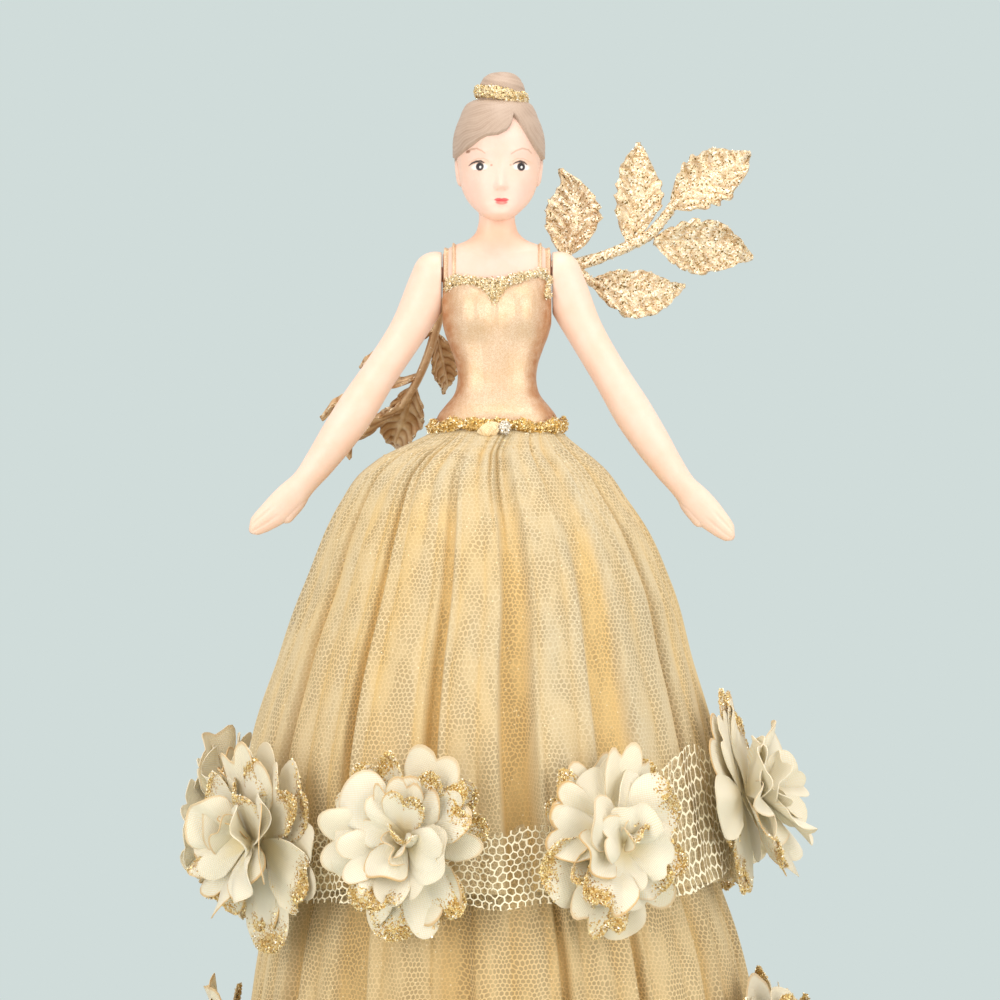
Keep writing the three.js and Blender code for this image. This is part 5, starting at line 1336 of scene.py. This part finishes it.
def pleated(table, sizes, centre, rows, columns, seed, gathers, reach, inset):
    """Pleated skirt: at each height a ring of the crest radius, less the fold's depth times a wave that
    is flat on the crests and narrow and lopsided in the valleys, like soft knife pleats. Small pleats
    lie on the crests, and puckers run down from the waist and merge into the folds. No fold goes
    deeper than the lining."""
    top_z, hem_z, hem_radius, fold_depth = sizes
    drop = np.linspace(0, 1, rows)[:, None] ** ROW_POWER * reach
    angle = circle(columns)[None]
    random = np.random.default_rng(seed)
    a, b, c = random.uniform(0, TURN, 3)
    sides_free = np.sin(angle) ** 2
    wander = 0.9 * np.sin(3 * angle + a) + 0.6 * np.sin(5 * angle + b) + 0.3 * np.sin(angle * 2 + c) * drop
    phase = angle * FOLDS + wander * sides_free
    lean = 0.8 * np.sin(angle * 3 + c)
    wave = (1 - np.cos(phase + lean * np.sin(phase))) / 2
    valley, shaded = smooth(wave, 0.82, 0.985), smooth(wave, 0.88, 0.99)
    depths = 0.9 + 0.25 * np.sin(angle * 4 + b) * sides_free + 0.15 * np.sin(angle * 7 + c) * sides_free
    depths = depths * (1 + 0.6 * smooth(drop, 0.2, 0.75))
    small_phase = phase * 2.5 + 1.6 * np.sin(angle * 5 + a) + 0.8 * drop * np.sin(angle * 11)
    crease = (1 - np.abs(np.sin(small_phase / 2)) ** 0.5) * smooth(drop, 0.05, 0.35)
    panel = 0.5 + 0.5 * np.sin(np.floor(small_phase / TURN) * 12.99 + seed)
    panel = 0.25 + (panel - 0.25) * (1 - smooth(small_phase / TURN % 1, 0.3, 1))
    pucker = 1 - np.abs(np.sin(angle * 26 + 1.4 * np.sin(angle * 9 + a) + 0.7 * np.sin(angle * 17))) ** 0.8
    pucker = pucker * (0.45 + 0.55 * np.sin(angle * 6 + b) ** 2)
    gathered = 1.5 * bell(drop - 0.03, 0.05) + 1.1 * bell(drop - 0.1, 0.14)
    puckers = gathers * pucker * gathered * smooth(drop, 0.0, 0.012)
    radius = hem_radius * read(table, 1, drop) - fold_depth * read(table, 2, drop) * valley * depths
    z = top_z + (hem_z - top_z) * drop + 0 * angle
    floor = lining_radius(np.clip(z, 0, LINING_TOP_Z)) + 2.6 - inset
    room = radius - 1.1 * crease * (1 - valley) - puckers - inset - floor
    radius = floor + 0.5 * (room + np.sqrt(room**2 + 0.6))
    shape = np.stack([centre(drop) + radius * np.cos(angle), radius * np.sin(angle), z], -1)
    crumple = noise(shape * [1, 1, 0.35], 7, seed) * 0.5 * smooth(drop, 0.02, 0.3)
    shape[..., 0] += crumple * np.cos(angle)
    shape[..., 1] += crumple * np.sin(angle)
    fold = np.floor((phase[0] - math.pi) / TURN).astype(int)
    folds = range(fold.min(), fold.max() + 1)
    crests = np.array([int(np.argmin(np.abs(phase[0] - TURN * (k + 1)))) for k in folds])
    places = cloth_places(shape, fold - fold.min(), crests)
    # Painted shade for the tulle's valley colour: in the narrow valleys, the creases and the puckers; the panel
    # term adds a random tone to each panel.
    depth = 0.8 * shaded * smooth(drop, 0.0, 0.4) + 0.4 * crease + 0.3 * puckers
    depth = depth + 0.55 * panel * smooth(drop, 0.02, 0.2)
    return shape, places, np.clip(depth, 0, 1)


def skirt(name, node, finish, grid, places, depth):
    """Open wall of cloth through the rings of a grid, with its hem's length and its height as flat sides."""
    rows, columns = grid.shape[:2]
    corner = places.reshape(rows - 1, columns, 4, 2)[::-1][:, :, [3, 2, 1, 0]]
    shape = Shape().grid(grid[::-1], True, corner.reshape(-1, 2), valley=depth[::-1])
    made = piece(name, shape, finish, DOLL, [node] if node else ())
    hem = strides(closed(grid)[-1]).sum() * MM
    tall = strides(grid).sum(0).mean() * MM
    return made, (float(hem), float(tall)), min(shape.area(), float(hem * tall))


def waist_ring(columns, drop_rows, grid):
    """Draws a skirt's first rows in to the gown's hips, up behind the waist cord."""
    hips_share = np.full(columns, (UPPER_TOP_Z - HIP_Z) / TORSO_HEIGHT)
    hips = torso(hips_share, circle(columns), SEAT_CLEARANCE + 0.6)
    hips[:, 2] = UPPER_TOP_Z + 2.4
    ease = smooth(drop_rows, 0.0, 0.035)[:, None, None]
    return hips[None] * (1 - ease) + grid * ease


def sparkle(name, grid, count, seed, finish, size):
    """Loose glitter specks that stuck to the tulle."""
    random = np.random.default_rng(seed)
    grains = Shape().grains(on_surface(grid, count, random, 0.12), size, random, 0.25)
    return loose_grains(name, grains, finish)


def lower_shift(drop):
    return LOWER_LEAN * smooth(drop, 0.1, 0.6) * smooth(drop, 1.6, 0.6)


UPPER_SIZES = UPPER_TOP_Z, UPPER_HEM_Z, UPPER_HEM_RADIUS, UPPER_FOLD
LOWER_SIZES = LOWER_TOP_Z, LOWER_HEM_Z, LOWER_HEM_RADIUS, LOWER_FOLD
# Rows, columns and inset of a skirt's outer layer and of the one under it
SKIRT_LAYERS = (90, 780, 0.0), (56, 460, 1.3)


def skirts():
    """Both skirts, each of an outer layer of tulle and a closer one under it that shows between its
    threads."""
    lifted = 1 - GARLAND_LIFT / (UPPER_TOP_Z - UPPER_HEM_Z)
    upper_finishes, lower_finishes = (gold_tulle, gold_tulle_under), (old_gold_tulle, old_gold_tulle_under)
    for name, table, node, sizes, centre, finishes, slot, seed, gathers, specks, reach in (
        ("upper_tulle", UPPER_SKIRT, "upper_skirt", UPPER_SIZES, shift, upper_finishes, "gold_tulle",
         3, 1.1, 2600, lifted),
        ("lower_tulle", LOWER_SKIRT, "lower_skirt", LOWER_SIZES, lower_shift, lower_finishes,
         "old_gold_tulle", 8, 0.0, 4200, 1),
    ):
        for layer, (rows, columns, inset) in enumerate(SKIRT_LAYERS):
            grid, places, depth = pleated(table, sizes, centre, rows, columns, seed, gathers, reach, inset)
            if gathers:
                grid = waist_ring(columns, np.linspace(0, 1, rows) ** ROW_POWER, grid)
            whole_name, replaced = (name + "_under", "") if layer else (name, node)
            made, flat, area = skirt(whole_name, replaced, finishes[layer], grid, places, depth)
            rests_on, extras = ["lining_cloth"], []
            if not layer:
                rests_on = [name + "_under"]
                extras = [sparkle(name + "_specks", grid, specks, seed, pale_flakes, 0.16)]
                if gathers:
                    extras.append(sparkle("waist_scatter", grid[2:10], 420, 52, gold_flakes, 0.26))


def lining():
    """Lining: a smooth cloth wall over the cone, with a soft sag between eight faint flutes."""
    drop = np.linspace(0, 1, 64)[:, None]
    angle = circle(190)[None]
    z = LINING_TOP_Z * (1 - drop)
    radius = lining_radius(z) - 0.25 * (1 - np.cos(angle * 8)) * drop
    lean = smooth(z, LOWER_TOP_Z, LOWER_TOP_Z + UPPER_HEM_RADIUS / 2)
    lean = lean * smooth(LINING_TOP_Z - z, 0, CONE_TOP_RADIUS)
    x = lean * shift(drop_at(z, UPPER_TOP_Z, UPPER_HEM_Z))
    outer = points_of(x + radius * np.cos(angle), radius * np.sin(angle), z)
    places = cloth_places(outer, np.zeros(outer.shape[1], int), np.array([0]))
    plain = 0 * outer[..., 0]
    made, flat, area = skirt("lining_cloth", "skirt_lining", satin, outer, places, plain)


def from_swag(angle, early=0.0):
    """Angle from the middle of the garland's swoop, or from a place a little before it."""
    return (angle - SWAG_ANGLE + early + math.pi) % TURN - math.pi


def swag(height, angle):
    return height * bell(from_swag(angle), SWAG_SPREAD)


def crest(kind, z):
    """Crest radius of a skirt at a height, and the place of its middle there."""
    if kind == "upper":
        drop = drop_at(z, UPPER_TOP_Z, UPPER_HEM_Z)
        return UPPER_HEM_RADIUS * read(UPPER_SKIRT, 1, drop), shift(drop)
    drop = drop_at(z, LOWER_TOP_Z, LOWER_HEM_Z)
    return LOWER_HEM_RADIUS * read(LOWER_SKIRT, 1, drop), lower_shift(drop)


def net_band(name, node, kind, bottom, rise, start, count):
    """Gathered net: a strip round the skirt, pinched behind each flower and spread between them, wider
    where the garland swoops up, with creases that run together at the flowers."""
    rows, columns = 24, 720
    angle = circle(columns)[None]
    level = np.linspace(0, 1, rows)[:, None]
    near = np.cos((angle - start) * count) * 0.5 + 0.5
    ruffle = np.sin(angle * 9 + start) * 0.7 + np.sin(angle * 23 + 2 * start) * 0.4
    spread = 1.12 - 0.3 * near**1.5 + (0.95 * rise / UPPER_SWAG) * bell(from_swag(angle, 0.35), 0.42)
    early = 0.4 * rise * bell(from_swag(angle, 0.44), 0.35)
    middle = bottom + BAND_HEIGHT / 2 + swag(rise, angle) + early + ruffle
    z = middle + BAND_HEIGHT * (level - 0.5) * spread
    radius, x = crest(kind, z)
    crease = np.sin(level * 19 + 2.5 * np.sin(angle * count * 2 + start)) * (0.15 + 0.45 * near)
    ripple = BAND_RIPPLE * (1 + np.cos(angle * BAND_RIPPLES)) * 0.6 + 0.3 * np.sin(angle * 61 + 3 * level)
    flare = 0.9 * smooth(level, 0.85, 1) + 0.9 * smooth(level, 0.15, 0)
    radius = radius + SEAT_CLEARANCE + BAND_THICKNESS + ripple + flare + crease
    grid = np.stack([x + radius * np.sin(angle), -radius * np.cos(angle), z], -1)
    ringed = closed(grid)
    along = np.linspace(0, 1, columns + 1)[None] * strides(ringed, 1).sum(1).mean()
    uv = np.stack(np.broadcast_arrays(along, (level - 0.5) * BAND_HEIGHT * 1.15), -1)
    places = np.stack([uv[:-1, :-1], uv[:-1, 1:], uv[1:, 1:], uv[1:, :-1]], 2)
    shape = Shape().grid(grid, True, places)
    made = piece(name, shape, cream_net, DOLL, [node])
    around, tall = strides(ringed[rows // 2]).sum() * MM, strides(grid).sum(0).mean() * MM
    flat, area = (float(around), float(tall)), min(shape.area(), float(around) * float(tall))


# Flower layers: petals, their length, spread, rise from the flower's back, slope and curl in degrees
PETAL_LAYERS = [
    [6, 22, 30, 1.0, 2, -12], [6, 21.5, 32, 2.4, 10, -16], [5, 19.5, 34, 3.8, 24, -24],
    [5, 17, 36, 5.2, 40, -30], [4, 13.5, 40, 6.4, 56, -28], [3, 9.5, 46, 7, 74, -10],
]
# Grains of a fully glittered petal of the long length
GRAINS_PER_PETAL, LONG_PETAL = 760, 21
PETAL_THICKNESS = 0.24


def between(grid, down, along):
    """Places on a grid at shares of its rows and columns, drawn straight between its points."""
    rows, columns = grid.shape[:2]
    i, j = np.clip(down, 0, 1) * (rows - 1.001), np.clip(along, 0, 1) * (columns - 1.001)
    row, column = i.astype(int), j.astype(int)
    i, j = (i - row)[:, None], (j - column)[:, None]
    upper = grid[row, column] * (1 - j) + grid[row, column + 1] * j
    return upper * (1 - i) + (grid[row + 1, column] * (1 - j) + grid[row + 1, column + 1] * j) * i


def petal(length, spread, slope, curl, random):
    """Petal from its base outwards, in rays that fan by the spread to both sides. Its rim is a blunt
    oval cut into one to three round lobes. It bends from the slope by the curl along its length, tips
    over to one side, cups or arches across and ruffles at the rim. Returns the grid, its flat places,
    how near each point is to the rim, and how far across the rays it lies from -1 to 1."""
    rows, columns = 10, 21
    v = np.linspace(0.04, 1, rows)[:, None]
    u = np.linspace(-1, 1, columns)[None]
    lobes = random.choice([1, 2, 2, 2, 3])
    oval = 0.5 + 0.5 * (1 - np.abs(u) ** 2.6) ** 0.55
    lobe = np.abs(np.sin(lobes * math.pi * (u + 1) / 2)) ** 0.7
    notch = random.uniform(0.1, 0.27) if lobes > 1 else 0.02
    reach = length * oval * (1 - notch * (1 - lobe) * smooth(np.abs(u), 1, 0.75)) * v
    ray = u * math.radians(spread)
    out, across = reach * np.cos(ray), reach * np.sin(ray)
    start, bend = math.radians(slope), math.radians(curl)
    bend = bend if abs(bend) > 0.02 else 0.02
    tilt = start + bend * out / length
    outward = length * (np.sin(tilt) - math.sin(start)) / bend
    upward = length * (math.cos(start) - np.cos(tilt)) / bend
    half = length * math.sin(math.radians(spread)) * 0.75
    cup = random.uniform(-0.9, 2.8) * (across / half) ** 2 * np.sin(math.pi * np.minimum(v * 0.85, 1))
    height, waves, begin = [random.uniform(low, high) for low, high in ((0.6, 1.9), (1.2, 2.4), (0, TURN))]
    ruffle = v**2.2 * height * np.sin(waves * math.pi * u + begin)
    roll = random.uniform(-1.9, 0.5) * smooth(v, 0.7, 1) ** 2 * lobe
    lift = cup + ruffle + roll + random.uniform(-0.28, 0.28) * across * v
    grid = np.stack([outward - lift * np.sin(tilt), across, upward + lift * np.cos(tilt)], -1)
    near_rim = np.maximum(v, np.abs(u) * smooth(v, 0.2, 0.5) * 0.99)
    return grid, np.stack([out, across], -1), near_rim, u + 0 * v


def flower(name, angle, kind, bottom, rise, seed, whole_size=1.0):
    """Silk flower: layers of petals turned round its middle, from a flat back layer to a closed heart,
    each layer tilted a little its own way, set on the band's slope and facing out. Some petals have a
    glittered lobe."""
    random = np.random.default_rng(seed)
    shape, grains = Shape(), Shape()
    low, high = [np.array(crest(kind, bottom + up + swag(rise, angle))) for up in (0, BAND_HEIGHT)]
    low_reach, high_reach = (c[0] + c[1] * math.sin(angle) for c in (low, high))
    slope = math.atan((low_reach - high_reach) / BAND_HEIGHT)
    away = low_reach - FLOWER_ABOVE_BAND * math.tan(slope) + 1.6 + 1.3 / math.cos(slope)
    middle_z = bottom + FLOWER_ABOVE_BAND + swag(rise, angle)
    out = np.array([math.sin(angle), -math.cos(angle), 0])
    facing = out * math.cos(slope) + np.array([0, 0, math.sin(slope)])
    up = -out * math.sin(slope) + np.array([0, 0, math.cos(slope)])
    side = np.cross(up, facing)
    centre = out * away + np.array([0, 0, middle_z])
    start = random.uniform(0, TURN)
    lowest = 1.0
    for layer, (count, length, spread, base, slant, curl) in enumerate(PETAL_LAYERS):
        start += random.uniform(0.4, 0.9)
        lean_x, lean_y = random.uniform(-0.06, 0.06, 2) * layer
        move_x, move_y = random.uniform(-0.45, 0.45, 2) * layer
        for k in range(count):
            turn = start + TURN * (k + random.uniform(-0.2, 0.2)) / count
            grid, flat_place, near_rim, across = petal(
                whole_size * length * random.uniform(0.84, 1.06), spread * random.uniform(0.85, 1.15),
                slant + random.uniform(-18, 20), curl + random.uniform(-24, 34), random,
            )
            x = grid[..., 0] * math.cos(turn) - grid[..., 1] * math.sin(turn)
            y = grid[..., 0] * math.sin(turn) + grid[..., 1] * math.cos(turn)
            height = grid[..., 2] + base + lean_x * x + lean_y * y
            height = lowest + 0.5 * (height - lowest + np.sqrt((height - lowest) ** 2 + 0.5))
            lowest += 0.13
            x, y = x + move_x, (y + move_y) * FLOWER_STRETCH
            place = centre + side * x[..., None] + up * y[..., None] + facing * height[..., None]
            edge_petal = layer < 3 and abs(math.sin(turn)) > 0.3
            chance = (0.68 if math.sin(turn) < 0 else 0.55) if edge_petal else 0.18
            amount = random.uniform(0.6, 1.0) if random.uniform() < chance else 0.0
            at = random.uniform(-0.5, 0.5)
            dust = amount * bell(across - at, 0.5) * smooth(near_rim, 0.7, 0.93)
            # Painted shade deep in the flower: near each petal's base, and on the two back layers.
            heart = smooth(near_rim, 0.7, 0.1) * 0.8 + 0.1 * (layer < 2)
            seal = np.full(near_rim.shape, random.uniform(0.3, 0.9) if random.uniform() < 0.45 else 0.1)
            shape.blade(place, PETAL_THICKNESS, flat_place, edge=near_rim, heart=heart, dust=dust, seal=seal)
            grain_count = int(GRAINS_PER_PETAL * amount * length / LONG_PETAL)
            if grain_count > 8:
                inward = np.abs(random.normal(size=grain_count) * 0.07 * amount)
                sideways = at + random.normal(size=grain_count) * 0.3
                keep = (inward < 0.38) & (np.abs(sideways) < 15 / 14)
                spots = between(place, 1 - inward[keep], 0.5 + 0.5 * sideways[keep])
                grains.grains(spots + random.uniform(-0.32, 0.32, spots.shape), 0.31, random)
    silk = piece(name + "_petals", shape, petal_cloth, DOLL, [name], crisp=True)
    grain = loose_grains(name + "_grains", grains, gold_flakes)
    cut = shape.area() / 2


def flowers():
    """Both garlands, counted from the flower on her right in front."""
    for i, (turn, lift, size) in enumerate(UPPER_SET):
        angle = math.radians(UPPER_FIRST + 360 / UPPER_COUNT * i + turn)
        flower(f"upper_flower_{i + 1}", angle, "upper", UPPER_BAND_Z + lift, UPPER_SWAG, 100 + i, size)
    for i in range(HEM_COUNT):
        angle = math.radians(HEM_FIRST + 360 / HEM_COUNT * i)
        flower(f"hem_flower_{i + 1}", angle, "lower", HEM_BAND_Z, HEM_SWAG, 200 + i)


def waist():
    """Glitter cord round the waist, uneven in height and thickness, with a folded ribbon knot and a
    pale glitter bead in front."""
    angle = np.linspace(0, TURN, 420)
    share = np.full(len(angle), WAIST_HEIGHT / TORSO_HEIGHT)
    inner = torso(share, angle, SEAT_CLEARANCE)
    outer = torso(share, angle, SEAT_CLEARANCE + WAIST_CORD_THICKNESS)
    out = (outer - inner) / np.linalg.norm(outer - inner, axis=1, keepdims=True)
    centres = (inner + outer) / 2
    centres[:, 2] = WAIST_Z + 0.45 * np.sin(angle * 3 + 1) + 0.3 * np.sin(angle * 8)
    uneven = 1 + 0.2 * np.sin(angle * 11 + 2) + 0.14 * np.sin(angle * 19)
    up = np.broadcast_to([0.0, 0, 1], out.shape)
    half_thick, half_tall = WAIST_CORD_THICKNESS * 0.42 * uneven, WAIST_CORD_HALF * 0.52 * uneven
    ring = lumpy(rings(centres, out, up, half_thick, half_tall, 26), 0.45, 1.5, 51)
    random = np.random.default_rng(51)
    piece("waist_glue", Shape().body(ring), gold_glitter, DOLL, ["waist_cord"])
    grains = Shape().grains(on_surface(ring, 4200, random, 0.1), 0.36, random)
    loose_grains("waist_grains", grains, gold_flakes)

    waist_depth = TORSO_DEPTH * float(read(TORSO, 2, WAIST_HEIGHT / TORSO_HEIGHT))
    face_y = -waist_depth - SEAT_CLEARANCE - WAIST_CORD_THICKNESS
    latitude = np.linspace(-1, 1, 60)[:, None] * math.pi / 2 * 0.98
    turn = circle(80)[None]
    pleats = 1 + 0.13 * np.sin(turn * 5 + 3 * latitude) + 0.1 * np.sin(turn * 11 - 4 * latitude)
    across, deep, up = np.cos(latitude) * np.cos(turn), np.cos(latitude) * np.sin(turn), np.sin(latitude)
    tall = 1.8 * up * (1 + 0.16 * np.cos(turn * 3)) + 0.4 * across
    knot = points_of(-2.0 + 2.7 * across * pleats, face_y - 1.4 + 1.25 * deep * pleats, WAIST_Z - 1.0 + tall)
    piece("waist_knot_ribbon", Shape().body(knot), ribbon, DOLL, ["waist_knot"])
    bead = points_of(2.0 + 1.4 * across, face_y - 1.6 + 1.4 * deep, WAIST_Z - 0.4 + 1.4 * up)
    bead = lumpy(bead, 0.22, 0.7, 61)
    piece("waist_bead_glue", Shape().body(bead), silver_glitter, DOLL, ["waist_bead"])
    grains = Shape().grains(on_surface(bead, 160, random, 0.1), 0.3, random)
    loose_grains("waist_bead_grains", grains, silver_flakes)


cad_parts["support_cone"].data.materials.clear()
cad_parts["support_cone"].data.materials.append(card)

gown()
head_and_chest()
hair()
bun_band()
neckline_trim()
strap(1, "left_strap")
strap(-1, "right_strap")
arm(1, "left_arm")
arm(-1, "right_arm")
wing(1, "left_wing", RAISED_STEM, RAISED_LEAVES, True)
wing(-1, "right_wing", DROOPED_STEM, DROOPED_LEAVES, False)
waist()
lining()
skirts()
upper_start, hem_start = math.radians(UPPER_FIRST), math.radians(HEM_FIRST)
upper_bottom = UPPER_BAND_Z + GARLAND_LIFT
net_band("upper_net", "upper_net_band", "upper", upper_bottom, UPPER_SWAG, upper_start, UPPER_COUNT)
net_band("hem_net", "hem_net_band", "lower", HEM_BAND_Z, HEM_SWAG, hem_start, HEM_COUNT)
flowers()


FLOOR_RADIUS, FLOOR_Z = 0.42, -0.0004
CAMERA_PLACE, CAMERA_LENS = (0.0008, -1.15, 0.18656), 156.2
LAMP_AIM = (0, 0, 0.17)
# Lamps: name, place, size, power and tint, in metres and watts
LAMPS = (
    ("key", (-0.68, -0.86, 0.33), (0.6, 1.0), 5.6, (1, 0.965, 0.92)),
    ("fill", (0.74, -0.82, 0.3), (0.6, 1.0), 5.1, (1, 0.97, 0.93)),
    ("top", (0.08, -0.1, 1.05), (0.6, 0.6), 4.4, (1, 0.97, 0.94)),
)


def studio():
    """Pale floor under the topper that fades into a pale blue-green surround, tall soft lamps at both
    sides of the front and the camera at the photograph's height and distance."""
    backdrop = colour(207, 219, 217)
    floor_mesh = bpy.data.meshes.new("floor")
    turn = circle(96)
    ring = points_of(FLOOR_RADIUS * np.cos(turn), FLOOR_RADIUS * np.sin(turn), FLOOR_Z)
    floor_mesh.from_pydata(ring.tolist(), [], [list(range(len(turn)))])
    floor = bpy.data.objects.new("floor", floor_mesh)
    bpy.context.scene.collection.objects.link(floor)
    finish = Finish("floor_paper", Roughness=0.9)
    away = finish.vector("LENGTH", finish.place)
    grain = finish.noise(2, 3)
    finish.set("Base Color", finish.mix(grain, colour(204, 217, 214), colour(208, 221, 218)))
    finish.set("Alpha", finish.ramp(away, 0.24, 0.41, 1.0, 0.0))
    floor_mesh.materials.append(finish.material)

    world = bpy.data.worlds.new("studio")
    bpy.context.scene.world = world
    world.use_nodes = True
    tree = world.node_tree
    light = tree.nodes["Background"]
    light.inputs["Color"].default_value = (1, 0.975, 0.94, 1)
    light.inputs["Strength"].default_value = 0.76
    seen = tree.nodes.new("ShaderNodeBackground")
    seen.inputs["Color"].default_value = (*backdrop, 1)
    path = tree.nodes.new("ShaderNodeLightPath")
    mixed = tree.nodes.new("ShaderNodeMixShader")
    tree.links.new(path.outputs["Is Camera Ray"], mixed.inputs[0])
    tree.links.new(light.outputs[0], mixed.inputs[1])
    tree.links.new(seen.outputs[0], mixed.inputs[2])
    tree.links.new(mixed.outputs[0], tree.nodes["World Output"].inputs[0])

    for name, place, size, power, tint in LAMPS:
        lamp = bpy.data.lights.new(name, "AREA")
        lamp.shape = "RECTANGLE"
        lamp.size, lamp.size_y = size
        lamp.energy = power
        lamp.color = tint
        made = bpy.data.objects.new(name, lamp)
        bpy.context.scene.collection.objects.link(made)
        made.location = place
        aim = np.array(LAMP_AIM) - np.array(place)
        tilt, way = math.atan2(math.hypot(aim[0], aim[1]), -aim[2]), math.atan2(aim[1], aim[0])
        made.rotation_euler = (tilt, 0, way - math.pi / 2)

    camera = bpy.data.cameras.new("camera")
    camera.lens, camera.sensor_width = CAMERA_LENS, 36
    camera.clip_start, camera.clip_end = 0.05, 20
    made = bpy.data.objects.new("camera", camera)
    bpy.context.scene.collection.objects.link(made)
    made.location = CAMERA_PLACE
    made.rotation_euler = (math.pi / 2, 0, 0)
    bpy.context.scene.camera = made
    bpy.context.scene.view_settings.view_transform = "Standard"


studio()
